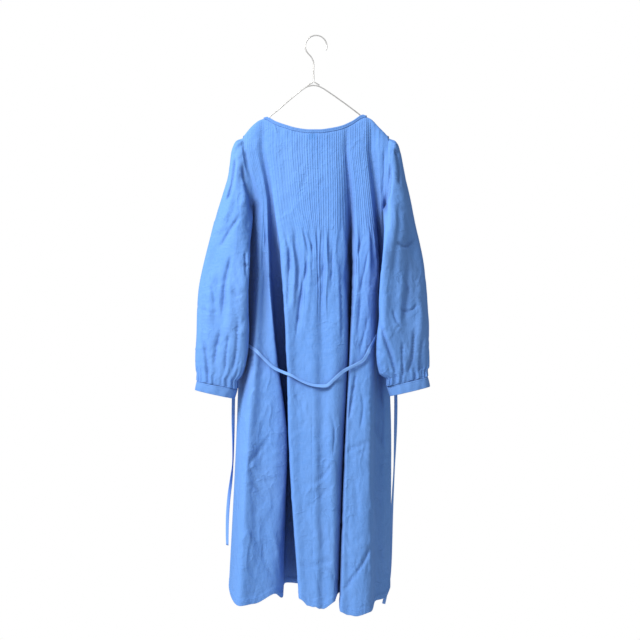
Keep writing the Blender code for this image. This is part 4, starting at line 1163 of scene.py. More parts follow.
@dataclass
class BackPanel(Body):
    """The tucked back, with its pressed tucks let go into deep folds."""

    tuck_height: float = 1.5
    tuck_columns: int = 6
    tuck_start: float = 0.3
    tuck_end: float = -478.0
    tuck_fade: float = 26.0
    wave_height: float = 2.7
    wave_start: float = -446.0
    wave_end: float = -655.0
    wave_fade: float = 190.0
    wave_room: float = 0.8
    waves: tuple[Row, ...] = ((5.3, 0.6, 0.4), (3.4, 0.42, 1.3), (9.0, 0.35, 2.2))
    swell_height: float = 1.2
    swells: tuple[Row, ...] = ((13.7, 0.5, 0.4), (21.0, 0.5, 2.0))

    def tucks(self, grid: Array) -> Array:
        """Return how far the pressed tucks stand up: each rises slowly and drops at its right."""
        count = len(grid)
        number = np.arange(count)[:, None]
        phase = (number % self.tuck_columns) / self.tuck_columns
        profile = np.maximum(phase - self.tuck_start, 0.0) ** 0.8
        tuck = number // self.tuck_columns
        uneven = 0.85 + 0.35 * np.sin(tuck * 2.3) * np.sin(tuck * 0.71 + 1.0)
        uneven = uneven * (0.45 + 0.55 * soft_step((number / count - 0.26) / 0.2))
        height = grid[..., 2]
        ends = self.tuck_end + 14.0 * np.sin(tuck * 1.9) + 8.0 * np.sin(tuck * 0.53)
        fade = soft_step((height - ends) / self.tuck_fade)
        top = soft_step((grid[:, :1, 2] - height - 2.0) / 7.0)
        inside = np.clip((np.minimum(number, count - 1 - number) - 4) / 8.0, 0.0, 1.0)
        return self.tuck_height * profile * uneven * fade * top * inside

    def released(self, grid: Array) -> Array:
        """Return the small uneven waves that the cloth falls into below the tucks."""
        count = len(grid)
        number = np.arange(count)[:, None] / self.finer
        height = grid[..., 2]
        inside = np.clip((np.minimum(number, number[-1] - number) - 2.0) / 4.0, 0.0, 1.0)
        start = soft_step((self.wave_start + 10.0 * np.sin(number * 1.1) - height) / 50.0)
        length = self.wave_end + 80.0 * np.sin(number * 0.33 + 0.6) + 40.0 * np.sin(number * 0.91)
        release = start * soft_step((height - length) / self.wave_fade) * inside
        wander = (number + 0.5 * np.sin(height / 31.0 + number * 0.4)
                  + 0.35 * np.sin(height / 17.0 - number * 0.23))
        wave = ripple(wander, self.waves)
        soft = ripple(number, self.swells) * soft_step((-500.0 - height) / 120.0)
        apart = np.linalg.norm(np.gradient(grid, axis=0), axis=-1)
        room = np.clip(apart / self.wave_room, 0.3, 1.0)
        return self.wave_height * wave * release * room + self.swell_height * soft * inside

    def build(self) -> tuple[Array, Array]:
        """Make the back and its sewn lines.

        Returns:
            The middle face and the outer face.
        """
        grid = self.grid()
        normal = face_normals(grid)
        small = crumples((-190, -1320), (180, -480), 260, 7, 1.3)
        small += crumples((-140, -480), (150, -250), 40, 8, 0.5)
        shape = self.released(grid) + crease_heights(grid, BACK_CREASES)
        shape = shape + crease_heights(grid, small, self.crease_pieces)
        number = np.arange(len(grid))
        edge = np.clip(np.minimum(number, len(grid) - 1 - number) / self.rim_columns, 0, 1)
        grid = grid + normal * (shape * edge[:, None])[..., None]
        normal = face_normals(grid)
        swell = (self.tucks(grid) + self.hem_fold(grid))[..., None]
        outer = grid + normal * (self.wall / 2 + swell)
        inner = self.inside(grid, normal)
        made = shell("back_panel", inner, outer, TUCKED, ["back"], coarse=2)
        self.sew_hem("back_hem_stitches", made, outer, normal)
        return grid, outer


@dataclass
class FrontPanels(Body):
    """The two buttoned fronts, the strip over their edges and its buttons."""

    crease_share: float = 1.7
    crumple_share: float = 1.3
    swell_height: float = 1.6
    swells: tuple[Row, ...] = ((24.0, 0.5, 0.2), (37.0, 0.5, 1.4))
    placket_wall: float = 1.2
    pucker_height: float = 0.25
    puckers: tuple[Row, ...] = ((26.0, 0.6, 0.5), (41.0, 0.4, 1.2))
    button_tops: float = -304.0
    button_step: float = 105.0
    button_count: int = 9

    def build(self) -> Array:
        """Make the fronts, the placket and the buttons.

        Returns:
            The middle face of both fronts together.
        """
        grid = self.grid()
        normal = face_normals(grid)
        number = np.arange(len(grid))
        edge = np.clip(np.minimum(number, len(grid) - 1 - number) / self.rim_columns, 0, 1)
        covered = (self.columns_of["right_placket"], self.columns_of["left_placket"])
        beside = np.minimum(abs(number - covered[0] + 2), abs(number - covered[1] - 2))
        flat = np.clip(beside / self.rim_columns, 0, 1)
        flat = np.where((number > covered[0] - 2) & (number < covered[1] + 2), 0.0, flat)
        height = grid[..., 2]
        soft = ripple(number[:, None].astype(float), self.swells)
        soft = soft * soft_step((-330.0 - height) / 200.0) * soft_step((height + 1250.0) / 300.0)
        soft = soft * self.swell_height
        small = crumples((-190, -1300), (180, -300), 240, 11, 1.2)
        shape = crease_heights(grid, FRONT_CREASES) * self.crease_share
        shape = shape + crease_heights(grid, small, self.crease_pieces) * self.crumple_share + soft
        shape = shape * (edge * flat)[:, None]
        grid = grid + normal * shape[..., None]
        normal = face_normals(grid)
        outer = grid + normal * (self.wall / 2 + self.hem_fold(grid))[..., None]
        inner = self.inside(grid, normal)
        centre = self.columns_of["centre_front"]
        for name, node, part, seam in (
                ("front_panel_right", "front_right", slice(0, centre + 1), -1),
                ("front_panel_left", "front_left", slice(centre, None), 0)):
            sides = [inner[part].copy(), outer[part].copy()]
            away = unit(sides[0][seam] - sides[0][1 if seam == 0 else -2]) * self.seam / 2
            for skin in sides:
                skin[seam] -= away
            made = shell(name, *sides, CLOTH, [node], coarse=2)
            self.sew_hem(f"{node}_hem_stitches", made, sides[1], normal[part])
        self.build_placket(grid, normal, covered, centre)
        return grid

    def build_placket(self, grid: Array, normal: Array, covered: tuple[int, int], centre: int) -> None:
        """Make the strip over the fronts' meeting edges, its stitching and its buttons."""
        part = slice(covered[0], covered[1] + 1)
        base, facing = grid[part], normal[part]
        inner = base + facing * (self.wall / 2 + self.seam)
        number = np.arange(len(base))
        rim = np.clip(np.minimum(number, len(base) - 1 - number), 0, 1)
        height = base[..., 2]
        pucker = self.pucker_height * ripple(height, self.puckers) * rim[:, None]
        thick = self.placket_wall * (0.6 + 0.4 * rim)[:, None] + pucker
        outer = inner + facing * thick[..., None]
        made = shell("button_strip", inner, outer, TRIM, ["placket"])
        rows = [(outer[column][2:-2], facing[column][2:-2]) for column in (1, len(base) - 2)]
        sewn = stitches("button_strip_stitches", rows)
        sewn.parent = made
        line = outer[centre - covered[0]]
        for place in range(self.button_count):
            height_at = self.button_tops - self.button_step * place
            at = read_along(line, line, height_at)
            out = unit(read_along(line, facing[centre - covered[0]], height_at))
            ShirtButton(place + 1).build(at, out)


@dataclass
class ShirtButton:
    """A plain four-hole button with a raised rim, and the thread that holds it."""

    number: int
    radius: float = 5.5
    thickness: float = 2.2
    stand: float = 0.3
    sides: int = 40
    hole_reach: float = 1.5
    hole_radius: float = 0.62
    hole_depth: float = 1.1
    rings: Row = (0.12, 0.17, 0.22, 0.27, 0.32, 0.38, 0.5, 0.6, 0.7, 0.8, 0.9, 0.96, 1.0)
    profile: tuple[Row, Row] = ((0.0, 0.50, 0.66, 0.80, 0.93, 1.0), (0.64, 0.64, 0.80, 0.98, 1.0, 0.62))

    def face_height(self, radius: float) -> float:
        """Return the height of the button's face at a share of its radius."""
        return float(np.interp(radius, *self.profile))

    def build(self, at: Array, out: Array) -> None:
        """Make the button standing on a point of the strip, facing out."""
        side = unit(np.cross(out, (0, 0, 1.0)))
        up = np.cross(side, out)
        base = at + out * self.stand
        holes = [(self.hole_reach * math.cos(turn), self.hole_reach * math.sin(turn))
                 for turn in (math.pi / 4 + math.pi / 2 * k for k in range(4))]
        rings: list[Array] = []
        for share in self.rings:
            for step in range(self.sides):
                turn = 2 * math.pi * step / self.sides
                x, z = self.radius * share * math.cos(turn), self.radius * share * math.sin(turn)
                rise = self.thickness * self.face_height(share)
                near = min(math.hypot(x - hx, z - hz) for hx, hz in holes)
                rise -= self.hole_depth * float(np.clip((self.hole_radius + 0.25 - near) / 0.3, 0.0, 1.0))
                rings.append(base + side * x + up * z + out * rise)
        for share, rise in ((0.97, 0.15), (0.86, 0.0)):
            for step in range(self.sides):
                turn = 2 * math.pi * step / self.sides
                ray = side * math.cos(turn) + up * math.sin(turn)
                rings.append(base + ray * self.radius * share + out * rise * self.thickness)
        points = np.array(rings + [base + out * self.thickness * self.face_height(0.0), base])
        count = len(rings) // self.sides
        faces: list[tuple[int, ...]] = []
        for ring in range(count - 1):
            for step in range(self.sides):
                a, b = ring * self.sides + step, ring * self.sides + (step + 1) % self.sides
                faces.append((a, a + self.sides, b + self.sides, b))
        last = (count - 1) * self.sides
        for step in range(self.sides):
            after = (step + 1) % self.sides
            faces.append((len(rings), step, after))
            faces.append((len(rings) + 1, last + after, last + step))
        if np.dot(np.cross(side, up), out) < 0:
            faces = [tuple(reversed(face)) for face in faces]
        made = new_object(f"shirt_button_{self.number}", points, faces, BUTTON,
                          nodes=[f"button_{self.number}"])
        self.sew(made, base, side, up, out, holes)

    def sew(self, button: bpy.types.Object, base: Array, side: Array, up: Array, out: Array,
            holes: list[tuple[float, float]]) -> None:
        """Cross two short bars of thread over the four holes."""
        points: list[Array] = []
        faces: list[tuple[int, ...]] = []
        reach = math.dist(holes[0], holes[2])
        bar = StitchRow(length=reach, pitch=0.1, radius=0.34)
        for one, two in ((holes[0], holes[2]), (holes[1], holes[3])):
            ends = [base + side * x + up * z + out * (self.thickness * 0.60) for x, z in (one, two)]
            way = unit(ends[1] - ends[0])
            line = np.array([ends[0] - way * bar.pitch, ends[0], ends[1], ends[1] + way * bar.pitch * 1.5])
            bar.add(line, np.tile(out, (4, 1)), points, faces)
        thread = new_object(f"{button.name}_thread", np.concatenate(points), faces, THREAD)
        thread.parent = button


@dataclass
class Sleeve:
    """One long sleeve: pleated over the shoulder, full at the elbow, gathered into its cuff."""

    side: Side
    around: int = 160
    rings: int = 221
    wall: float = 0.8
    gap: float = -1.0
    flatness: float = 0.62
    cuff_half_depth: float = 20.0
    cuff_wall: float = 2.0
    cuff_rows: Row = (0.0, 0.04, 0.10, 0.15, 0.22, 0.4, 0.6, 0.78, 0.85, 0.90, 0.96, 1.0)
    cuff_swell: Row = (0.35, 0.85, 0.95, 0.7, 1.0, 1.05, 1.05, 1.0, 0.7, 0.95, 0.85, 0.35)
    cuff_stitch_rows: tuple[int, int] = (3, 8)
    gather_reach: float = 95.0
    gather_height: float = 1.9
    pleat_count: int = 13
    pleat_height: float = 1.8
    puff_height: float = 3.0
    crease_share: float = 1.45
    crease_pieces: int = 5
    far_share: float = 0.8
    far_rise: float = 34.0
    inner_ease: float = 0.5

    @property
    def sign(self) -> int:
        """Return -1 for the left sleeve and 1 for the right one."""
        return -1 if self.side is Side.LEFT else 1

    @property
    def turns(self) -> Array:
        """Return the angle of each column round the sleeve, from its outer edge over the near side."""
        return np.arange(self.around) * 2 * math.pi / self.around

    @property
    def lean(self) -> Row:
        """Return the slope that turns the sleeve's inner edge to the viewer, from the cap down."""
        return (0.0, -0.25, -0.30, -0.30, -0.05) if self.side is Side.LEFT else (0.0, 0.95, 1.0, 0.52, 0.08)

    def sections(self) -> Array:
        """Return a table of the sleeve's sections: outer x and z, inner x and z, depth, half depth."""
        top, _, depth = CUFFS[self.side]
        rows = [(*outer, *inner, middle, half) for outer, inner, middle, half in SLEEVES[self.side]]
        for rise, spread in ((18.0, 4.0), (8.0, 2.0), (0.5, 0.0)):
            (x1, z1), (x2, z2) = top
            rows.append((x1, z1 + rise, x2, z2 + rise, depth, self.cuff_half_depth + spread))
        return np.array(rows, float)

    def armhole(self, turns: Array) -> Array:
        """Return the first ring, which follows the panels' own armhole edges."""
        side = self.side.value
        table = ARMHOLES[side]
        top = table[0][0]
        ring = []
        for turn in turns:
            height = top + (UNDERARM - top) * (1 - math.cos(turn)) / 2
            point = armhole_point(side, height, -1 if math.sin(turn) >= 0 else 1)
            point[0] += self.sign * self.gap
            ring.append(point)
        return np.array(ring)

    def grid(self) -> Array:
        """Return the sleeve's middle face as columns round it and rows down it."""
        turns = self.turns
        table = self.sections()
        places = np.linspace(0.0, len(table), self.rings)
        share = (1 - np.cos(turns)) / 2
        first = self.armhole(turns)
        rows = []
        for place in places:
            at = max(place - 1.0, 0.0)
            values = np.array([follow(np.arange(len(table)), table[:, k], at) for k in range(6)], float)
            across = values[0] + (values[2] - values[0]) * share
            height = values[1] + (values[3] - values[1]) * share
            lean = float(follow((0.0, 2.0, 4.0, 7.0, len(table) - 1.0), self.lean, at))
            flat = 1.0 - (1.0 - self.flatness) * min(at / 3.0, 1.0)
            round_it = np.sign(np.sin(turns)) * np.abs(np.sin(turns)) ** flat
            depth = values[4] - values[5] * 0.9 * round_it + lean * (across - (values[0] + values[2]) / 2)
            ring = np.column_stack([across, depth, height])
            if place < 1.0:
                ring = first * (1 - place) + ring * place
            rows.append(ring)
        return np.array(rows).transpose(1, 0, 2)

    def folds(self, grid: Array) -> Array:
        """Return the gathers over the cuff and the pleats over the shoulder."""
        turns = self.turns[:, None]
        height = grid[..., 2]
        (x1, z1), (x2, z2) = CUFFS[self.side][0]
        cuff = z1 + (z2 - z1) * (grid[..., 0] - x1) / (x2 - x1)
        above = height - cuff
        envelope = soft_step((self.gather_reach - above) / self.gather_reach)
        envelope = envelope * soft_step(above / 5.0 + 0.25)
        count = 19 if self.side is Side.LEFT else 18
        gathers = (np.cos(turns * count + 0.5) * 0.6 + np.cos(turns * (count - 6) + 1.2) * 0.4
                   + np.cos(turns * (count + 9) + 2.0) * 0.3 * soft_step((45.0 - above) / 30.0))
        top = grid[0, 0, 2]
        below = top - height
        pleats = np.cos(turns * self.pleat_count + 0.4)
        pleats = pleats * soft_step((60.0 - below) / 60.0) * soft_step(below / 8.0)
        pleats = pleats * soft_step((np.cos(turns) + 0.35) / 0.8)
        slack = np.cos(turns * 3 + height * 0.012) * 2.0 + np.cos(turns * 5 - height * 0.019 + 1.0) * 1.2
        slack = slack * soft_step(below / 160.0) * soft_step(above / 120.0)
        puff = soft_step((below - 2.0) / 16.0) * soft_step((150.0 - below) / 120.0)
        puff = puff * soft_step(np.cos(turns) + 0.5) * self.puff_height
        return gathers * self.gather_height * envelope + pleats * self.pleat_height + slack + puff

    def build(self) -> None:
        """Make the sleeve and its cuff."""
        grid = self.grid()
        normal = tube_normals(grid)
        near = soft_step(np.sin(self.turns)[:, None] * 2.0 + 0.5)
        low, high = (-285, -150) if self.side is Side.LEFT else (145, 270)
        small = crumples((low, -800), (high, -260), 80, 21 + self.sign, 1.4)
        creases = crease_heights(grid, SLEEVE_CREASES[self.side]) * self.crease_share
        creases = creases + crease_heights(grid, small, self.crease_pieces)
        shifted = grid + np.array([0.0, 0.0, self.far_rise])
        far = crease_heights(shifted, SLEEVE_CREASES[self.side]) * self.far_share
        number = np.arange(self.rings)
        ends = soft_step(number / 8.0) * soft_step((self.rings - 1 - number) / 5.0)
        shape = creases * near + far * (1 - near) + self.folds(grid)
        grid = grid + normal * (shape * ends)[..., None]
        normal = tube_normals(grid)
        name = self.side.value
        outer = grid + normal * self.wall / 2
        ease = rim_ease(*grid.shape[:2], RIM_STEPS, True)
        inner = grid - normal * (self.wall / 2 + self.inner_ease * ease)[..., None]
        made = shell(f"{name}_sleeve", inner, outer, CLOTH, [f"sleeve_{name}"], closed=True, coarse=2)
        self.build_cuff()

    def build_cuff(self) -> None:
        """Make the cuff as a doubled band with a stitched line at each edge."""
        name = self.side.value
        (top_outer, top_inner), (foot_outer, foot_inner), depth = CUFFS[self.side]
        turns = self.turns
        share = (1 - np.cos(turns)) / 2
        grid, thick = [], []
        for row, bulge in zip(self.cuff_rows, self.cuff_swell):
            ends = [tuple(np.array(one) * (1 - row) + np.array(two) * row)
                    for one, two in ((top_outer, foot_outer), (top_inner, foot_inner))]
            across = ends[0][0] + (ends[1][0] - ends[0][0]) * share
            height = ends[0][1] + (ends[1][1] - ends[0][1]) * share
            wobble = 0.5 * np.sin(turns * 9 + row * 2.0) + 0.35 * np.sin(turns * 14 - row * 3.0)
            bow = (self.cuff_half_depth + wobble) * np.sin(turns)
            grid.append(np.column_stack([across, depth - bow, height]))
            thick.append(np.full(self.around, bulge))
        middle = np.array(grid).transpose(1, 0, 2)
        wall = np.array(thick).T[..., None] * self.cuff_wall / 2
        normal = tube_normals(middle)
        outer = middle + normal * wall
        made = shell(f"{name}_cuff", middle - normal * wall, outer, TRIM, [f"cuff_{name}"], closed=True)
        loop = np.concatenate([np.arange(self.around), [0]])
        rings = [(outer[loop, row], normal[loop, row]) for row in self.cuff_stitch_rows]
        sewn = stitches(f"{name}_cuff_stitches", rings)
        sewn.parent = made


@dataclass
class NeckBinding:
    """The narrow doubled band that stands on the neckline's edge."""

    wall: float = 2.2
    turn: float = 1.6
    pucker: float = 0.08
    profile: tuple[Row, ...] = (
        (0.9, -1.8), (1.05, -0.8), (1.0, 1.5), (0.8, 2.0), (1.0, 2.6), (1.0, 5.2), (0.75, 6.2), (0.3, 6.6),
    )
    stitch_row: int = 3

    def build(self, back: Array, front: Array) -> None:
        """Make the band from the panels' own top edges.

        Args:
            back: the back's middle face.
            front: the fronts' middle face.
        """
        ring: list[Array] = []
        for edge, turn_x in ((back[:, 0], NECK[1] + self.turn), (front[:, 0], NECK[0] - self.turn)):
            neck = edge[(edge[:, 0] > NECK[0]) & (edge[:, 0] < NECK[1])]
            ring += list(neck) + [np.array((turn_x, 0.0, neck[-1, 2]))]
        line = np.array(ring)
        out = unit(np.cross(steps_along(line, 0, closed=True) * (1, 1, 0), (0, 0, 1.0)))
        up = np.array([0, 0, 1.0])
        pucker = 1.0 + self.pucker * np.sin(np.arange(len(line)) * 1.3)
        half = self.wall / 2 * pucker[:, None]
        corner = np.minimum(abs(line[:, :1] - NECK[0]), abs(line[:, :1] - NECK[1]))
        tall = 1.0 - 0.45 * np.exp(-(corner / 5.0) ** 2)
        edges = [(line + up * rise * tall, out * half * wide) for wide, rise in self.profile]
        outer = np.stack([place + reach for place, reach in edges], axis=1)
        inner = np.stack([place - reach for place, reach in edges], axis=1)
        made = shell("neckline_binding", inner, outer, TRIM, ["neck_binding"], closed=True)
        loop = np.concatenate([np.arange(len(line)), [0]])
        sewn = stitches("neckline_stitches", [(outer[loop, self.stitch_row], out[loop])])
        sewn.parent = made


@dataclass
class NeckLabel:
    """A blank woven label hung inside the back of the neck."""

    width: float = 20.0
    height: float = 13.0
    across: float = -8.0
    middle: float = -240.0
    thickness: float = 0.7

    def build(self, body: Body) -> None:
        """Make the label just inside the back's top edge."""
        _, stand = body.top_at(self.across)
        near = -stand + body.wall / 2 + 0.9
        columns = np.linspace(-0.5, 0.5, 21)
        rows = np.linspace(0.5, -0.5, 15)
        grid = np.array([[(self.across + c * self.width, near + 0.35 + 0.4 * math.sin(c * 5.0) * (0.5 - r),
                           self.middle + r * self.height) for r in rows] for c in columns])
        half = np.array([0.0, self.thickness / 2, 0.0])
        shell("blank_neck_label", grid + half, grid - half, TRIM, ["neck_label"])


@dataclass
class TieBelt:
    """A narrow flat tie through two side loops, across the back's folds, with two hanging ends."""

    width: float = 8.0
    thickness: float = 1.0
    clearance: float = 3.0
    reach: float = 14.0
    pieces: int = 6
    loop_width: float = 3.0
    loop_height: float = 12.5
    loop_run: float = 6.0
    loop_foot: float = 0.8
    loop_stand: float = 4.2
    side_stand: float = 2.1
    span: tuple[Row, ...] = (
        (-136, -742), (-118, -760), (-97, -779), (-78, -788), (-56, -796), (-34, -808), (-11, -817),
        (12, -820), (26, -819), (40, -807), (54, -794), (66, -785), (80, -778), (94, -771), (108, -763),
        (118, -748), (127, -729),
    )
    round_side: tuple[Row, ...] = ((2, -719.0), (3, -729.0))
    left_end: tuple[Row, ...] = (
        (-185, 14, -724, 113), (-189, 16, -742, 95), (-192, 16, -766, 60), (-194, 16, -800, 25),
        (-196, 18, -850, 0), (-197, 20, -905, 20), (-197, 22, -960, 55), (-198, 22, -1010, 70),
        (-202, 22, -1050, 40), (-207, 20, -1090, 5), (-210, 18, -1130, -10), (-211, 18, -1170, -25),
        (-211, 20, -1205, -40),
    )
    right_end: tuple[Row, ...] = (
        (176, 20, -682, 54), (180, 22, -700, 50), (184, 24, -730, 40), (187, 28, -765, 20),
        (189, 34, -810, 0), (191, 40, -860, -10), (191, 46, -915, 10), (190, 52, -970, 40),
        (188, 56, -1030, 60), (185, 58, -1090, 50), (182, 58, -1150, 30), (180, 58, -1210, 15),
        (178, 58, -1260, 5), (175, 58, -1295, 0), (169, 58, -1326, 0), (163, 58, -1354, 0),
    )
    loops: tuple[tuple[str, int, float], ...] = (
        ("belt_loop_left", 1, -712.0), ("belt_loop_right", -2, -668.0),
    )

    def foremost(self, skin: Array, across: float, height: float) -> float:
        """Return how far forward the cloth stands behind a stretch of the belt."""
        found = []
        for column in skin:
            for level in (height - self.width, height, height + self.width):
                x, y, _ = read_along(column, column, level)
                if abs(x - across) < self.reach:
                    found.append(y)
        return min(found)

    def side_place(self, skin: Array, column: int, height: float) -> tuple[Array, Array]:
        """Return a point on the back's side and the level way that the cloth faces there."""
        foot = read_along(skin[column], skin[column], height)
        along = read_along(skin[column], skin[column + 1] - skin[column - 1], height)
        return foot, unit(np.array([along[1], -along[0], 0.0]))

    def ribbon(self, name: str, route: Array, widths: Array, wide: float, nodes: Sequence[str],
               pieces: int, thick: float) -> tuple[bpy.types.Object, Array, Array]:
        """Make a soft flat strip with rounded edges along a rounded route.

        Args:
            name: the piece's name.
            route: points along its middle.
            widths: the direction across it at each point.
            wide: its width.
            nodes: the solids that it stands for.
            pieces: how finely each stretch is cut.
            thick: its thickness.

        Returns:
            The piece, its middle line and the direction across it.
        """
        line = rounded_path(route, pieces)
        across = rounded_path(widths, pieces)
        along = steps_along(line, 0)
        across = unit(across - along * np.sum(across * along, axis=1, keepdims=True))
        facing = np.cross(along, across)
        shares = np.linspace(-0.5, 0.5, 9)
        half = thick / 2 * np.sqrt(np.clip(1.0 - (np.abs(shares) * 2) ** 6, 0.05, 1.0))
        curl = 0.5 * np.cos(shares * math.pi)
        run = np.arange(len(line)) / pieces
        curl = curl[None, :] * np.sin(run * 1.7 + 0.4)[:, None]
        middle = (line[:, None] + across[:, None] * (shares * wide)[None, :, None]
                  + facing[:, None] * curl[..., None])
        rise = facing[:, None] * half[None, :, None]
        made = shell(name, middle - rise, middle + rise, TIE, nodes)
        return made, line, across

    def build(self, skin: Array) -> None:
        """Run the belt round the dress.

        Args:
            skin: the back's outer points, thinned to the solid's own columns.
        """
        held = []
        for name, column, height in self.loops:
            foot, out = self.side_place(skin, column, height)
            run = np.array([-out[1], out[0], 0.0]) * math.copysign(self.loop_run, out[0])
            held.append([foot + out * self.side_stand + run * step for step in (1, 0, -1)])
            rise = np.array([0, 0, self.loop_height / 2])
            bend = np.array([foot + rise + out * self.loop_foot, foot + rise + out * self.loop_stand,
                             foot - rise + out * self.loop_stand, foot - rise + out * self.loop_foot])
            self.ribbon(f"{name}_thread", bend, np.tile(run / self.loop_run, (4, 1)), self.loop_width,
                        [name], self.pieces, self.thickness)
        span = np.array([(x, self.foremost(skin, x, z) - self.clearance, z) for x, z in self.span], float)
        for _ in range(2):
            span[1:-1, 1] = np.minimum(span[1:-1, 1], (span[:-2, 1] + span[2:, 1]) / 2)
        sides = [foot + out * self.side_stand for foot, out in
                 (self.side_place(skin, column, height) for column, height in self.round_side)]
        left, right = np.array(self.left_end[::-1], float), np.array(self.right_end, float)
        middle = np.concatenate([held[0], sides, span, held[1][::-1]])
        widths = [np.column_stack([np.cos(turn), np.sin(turn), np.zeros(len(turn))])
                  for turn in (np.radians(end[:, 3]) for end in (left, right))]
        tilt = np.radians(np.interp(np.arange(len(middle)), (4, 8, 11, 14), (0, 42, 42, 0)))
        upright = np.column_stack([np.zeros(len(middle)), np.sin(tilt), np.cos(tilt)])
        route = np.concatenate([left[:, :3], middle, right[:, :3]])
        made, line, _ = self.ribbon("tie_belt", route, np.concatenate([widths[0], upright, widths[1]]),
                                    self.width, ["belt"], self.pieces, self.thickness)


@dataclass
class WireHanger:
    """A plain bent-wire hanger: a bow under the shoulders, and the hook standing on it."""

    radius: float = 1.5
    sides: int = 16
    below_shoulder: float = 4.4
    hook_inner: float = 24.0
    stem: float = -6.0
    join: float = -106.0
    bow_middle: tuple[Row, ...] = (
        (-106, -187), (-92, -176), (-60, -148.5), (-24, -121), (-14, -117.5), (-6, -116.5),
        (2, -117.5), (12, -121), (54, -149), (88, -174), (101, -184), (112, -193),
    )
    arm_left: Row = (-164, -156, -146, -136, -127, -118)
    arm_right: Row = (121, 130, 140, 150, 158, 164)

    def wire(self, name: str, route: Iterable[Row], nodes: Sequence[str]) -> bpy.types.Object:
        """Make a round wire with rounded ends along a route in the middle plane."""
        line = rounded_path(np.array([(x, 0.0, z) for x, z in route], float), 5)
        along = steps_along(line, 0)
        flat = np.array([0.0, 1.0, 0.0])
        points: list[Array] = []
        rings = [(line[0] - along[0] * self.radius * 0.6, along[0], 0.35),
                 (line[0] - along[0] * self.radius * 0.35, along[0], 0.8)]
        rings += [(place, way, 1.0) for place, way in zip(line, along)]
        rings += [(line[-1] + along[-1] * self.radius * 0.35, along[-1], 0.8),
                  (line[-1] + along[-1] * self.radius * 0.6, along[-1], 0.35)]
        for place, way, wide in rings:
            up = unit(np.cross(way, flat))
            for step in range(self.sides):
                turn = 2 * math.pi * step / self.sides
                points.append(place + (up * math.cos(turn) + flat * math.sin(turn)) * self.radius * wide)
        faces: list[tuple[int, ...]] = []
        for ring in range(len(rings) - 1):
            for step in range(self.sides):
                a, b = ring * self.sides + step, ring * self.sides + (step + 1) % self.sides
                faces.append((a, b, b + self.sides, a + self.sides))
        faces.append(tuple(reversed(range(self.sides))))
        faces.append(tuple((len(rings) - 1) * self.sides + step for step in range(self.sides)))
        return new_object(name, np.array(points), faces, WIRE, nodes=nodes)

    def build(self, back: Body) -> None:
        """Make the three wires."""
        arms = [[(x, back.top_at(x)[0] - self.below_shoulder) for x in side]
                for side in (self.arm_left, self.arm_right)]
        self.wire("hanger_bow_wire", [*arms[0], *self.bow_middle, *arms[1]], ["hanger_bow"])
        radius = self.hook_inner + self.radius
        hook = [(radius * math.cos(turn), radius * math.sin(turn) - self.hook_inner)
                for turn in (math.radians(degrees) for degrees in range(-20, 226, 15))]
        hook += [(self.stem + x, z) for x, z in ((-5.0, -50.0), (0.0, -62.0), (0.0, -84.0))]
        hook += [(self.stem, self.join), (self.stem - 3.0, self.join - 4.0),
                 (self.stem - 13.5, self.join - 9.7)]
        self.wire("hanger_hook_wire", hook, ["hanger_hook"])
        leg = [(self.stem + 2.4, self.join - 2.8), (self.stem + 13.5, self.join - 9.7)]
        self.wire("hanger_leg_wire", leg, ["hanger_leg"])


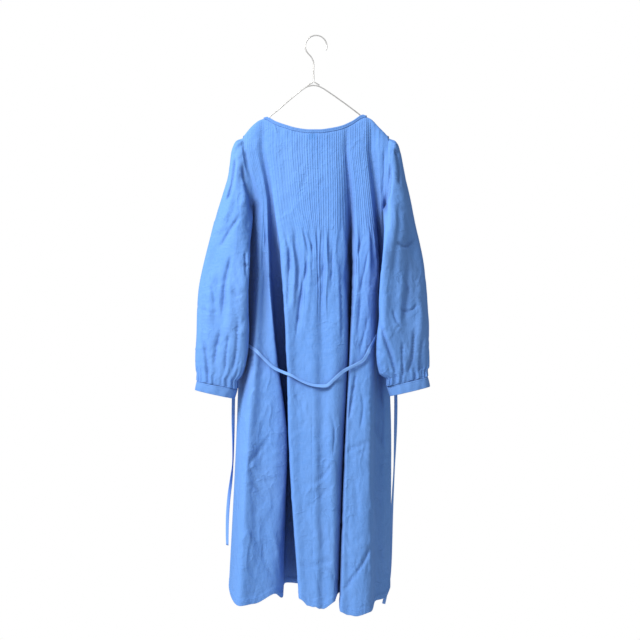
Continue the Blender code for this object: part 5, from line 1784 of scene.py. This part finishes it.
@dataclass
class Studio:
    """A plain pale floor and one large soft lamp at the viewer's upper left."""

    floor: float = -2.4
    reach: float = 3.3
    lamp_place: Row = (-2.35, -2.05, 1.65)
    lamp_aim: Row = (0.0, 0.0, -0.55)
    lamp_size: float = 1.9
    lamp_power: float = 178.0
    ambient: float = 0.33

    def build(self) -> None:
        """Make the floor, the lamp and the air around them."""
        mesh = bpy.data.meshes.new("pale_floor")
        count = 96
        rim = [(self.reach * math.cos(2 * math.pi * step / count),
                self.reach * math.sin(2 * math.pi * step / count), self.floor) for step in range(count)]
        mesh.from_pydata(rim, [], [tuple(range(count))])
        floor = bpy.data.objects.new("pale_floor", mesh)
        bpy.context.scene.collection.objects.link(floor)
        paint = bpy.data.materials.new("pale_paint")
        paint.use_nodes = True
        surface = paint.node_tree.nodes["Principled BSDF"]
        surface.inputs["Base Color"].default_value = (0.93, 0.93, 0.93, 1.0)
        surface.inputs["Roughness"].default_value = 0.9
        surface.inputs["Specular IOR Level"].default_value = 0.0
        mesh.materials.append(paint)
        light = bpy.data.lights.new("soft_lamp", "AREA")
        light.shape = "DISK"
        light.size = self.lamp_size
        light.energy = self.lamp_power
        light.color = (1.0, 0.985, 0.96)
        lamp = bpy.data.objects.new("soft_lamp", light)
        lamp.location = self.lamp_place
        way = Vector(self.lamp_aim) - Vector(self.lamp_place)
        lamp.rotation_euler = way.to_track_quat("-Z", "Y").to_euler()
        bpy.context.scene.collection.objects.link(lamp)
        self.fill_air()
        bpy.context.scene.view_settings.view_transform = "Standard"

    def fill_air(self) -> None:
        """Make the soft even light all round, with a white backdrop behind everything."""
        world = bpy.data.worlds.new("pale_room")
        world.use_nodes = True
        tree = world.node_tree
        soft = tree.nodes["Background"]
        soft.inputs["Strength"].default_value = self.ambient
        place = tree.nodes.new("ShaderNodeTexCoord")
        split = tree.nodes.new("ShaderNodeSeparateXYZ")
        ramp = tree.nodes.new("ShaderNodeValToRGB")
        ramp.color_ramp.elements[0].position = 0.0
        ramp.color_ramp.elements[0].color = (0.20, 0.21, 0.23, 1.0)
        ramp.color_ramp.elements[1].position = 0.45
        ramp.color_ramp.elements[1].color = (0.95, 0.97, 1.0, 1.0)
        rise = tree.nodes.new("ShaderNodeMath")
        rise.operation = "MULTIPLY_ADD"
        rise.inputs[1].default_value = 0.5
        rise.inputs[2].default_value = 0.5
        tree.links.new(place.outputs["Generated"], split.inputs["Vector"])
        tree.links.new(split.outputs["Z"], rise.inputs[0])
        tree.links.new(rise.outputs["Value"], ramp.inputs["Fac"])
        tree.links.new(ramp.outputs["Color"], soft.inputs["Color"])
        white = tree.nodes.new("ShaderNodeBackground")
        white.inputs["Color"].default_value = (1.0, 1.0, 1.0, 1.0)
        path = tree.nodes.new("ShaderNodeLightPath")
        mix = tree.nodes.new("ShaderNodeMixShader")
        tree.links.new(path.outputs["Is Camera Ray"], mix.inputs["Fac"])
        tree.links.new(soft.outputs["Background"], mix.inputs[1])
        tree.links.new(white.outputs["Background"], mix.inputs[2])
        tree.links.new(mix.outputs["Shader"], tree.nodes["World Output"].inputs["Surface"])
        bpy.context.scene.world = world


@dataclass
class ShirtDress:
    """The whole dress on its hanger."""

    back: BackPanel = field(
        default_factory=lambda: BackPanel(BACK_LINES, FRONT_LINES, BACK_TOP, Panel.BACK))
    fronts: FrontPanels = field(default_factory=lambda: FrontPanels(
        FRONT_LINES, BACK_LINES, FRONT_TOP, Panel.FRONT, row_count=140))

    def build(self) -> None:
        """Make every piece, from the body out."""
        back, skin = self.back.build()
        front = self.fronts.build()
        for side in Side:
            Sleeve(side).build()
        NeckBinding().build(back, front)
        NeckLabel().build(self.back)
        TieBelt().build(skin[::self.back.finer])
        WireHanger().build(self.back)


def main() -> None:
    """Build the dress on its frame and light it."""
    logging.basicConfig(level=logging.INFO, format="%(message)s")
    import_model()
    ShirtDress().build()
    VIEWER.set_camera()
    Studio().build()


if __name__ == "__main__":
    main()
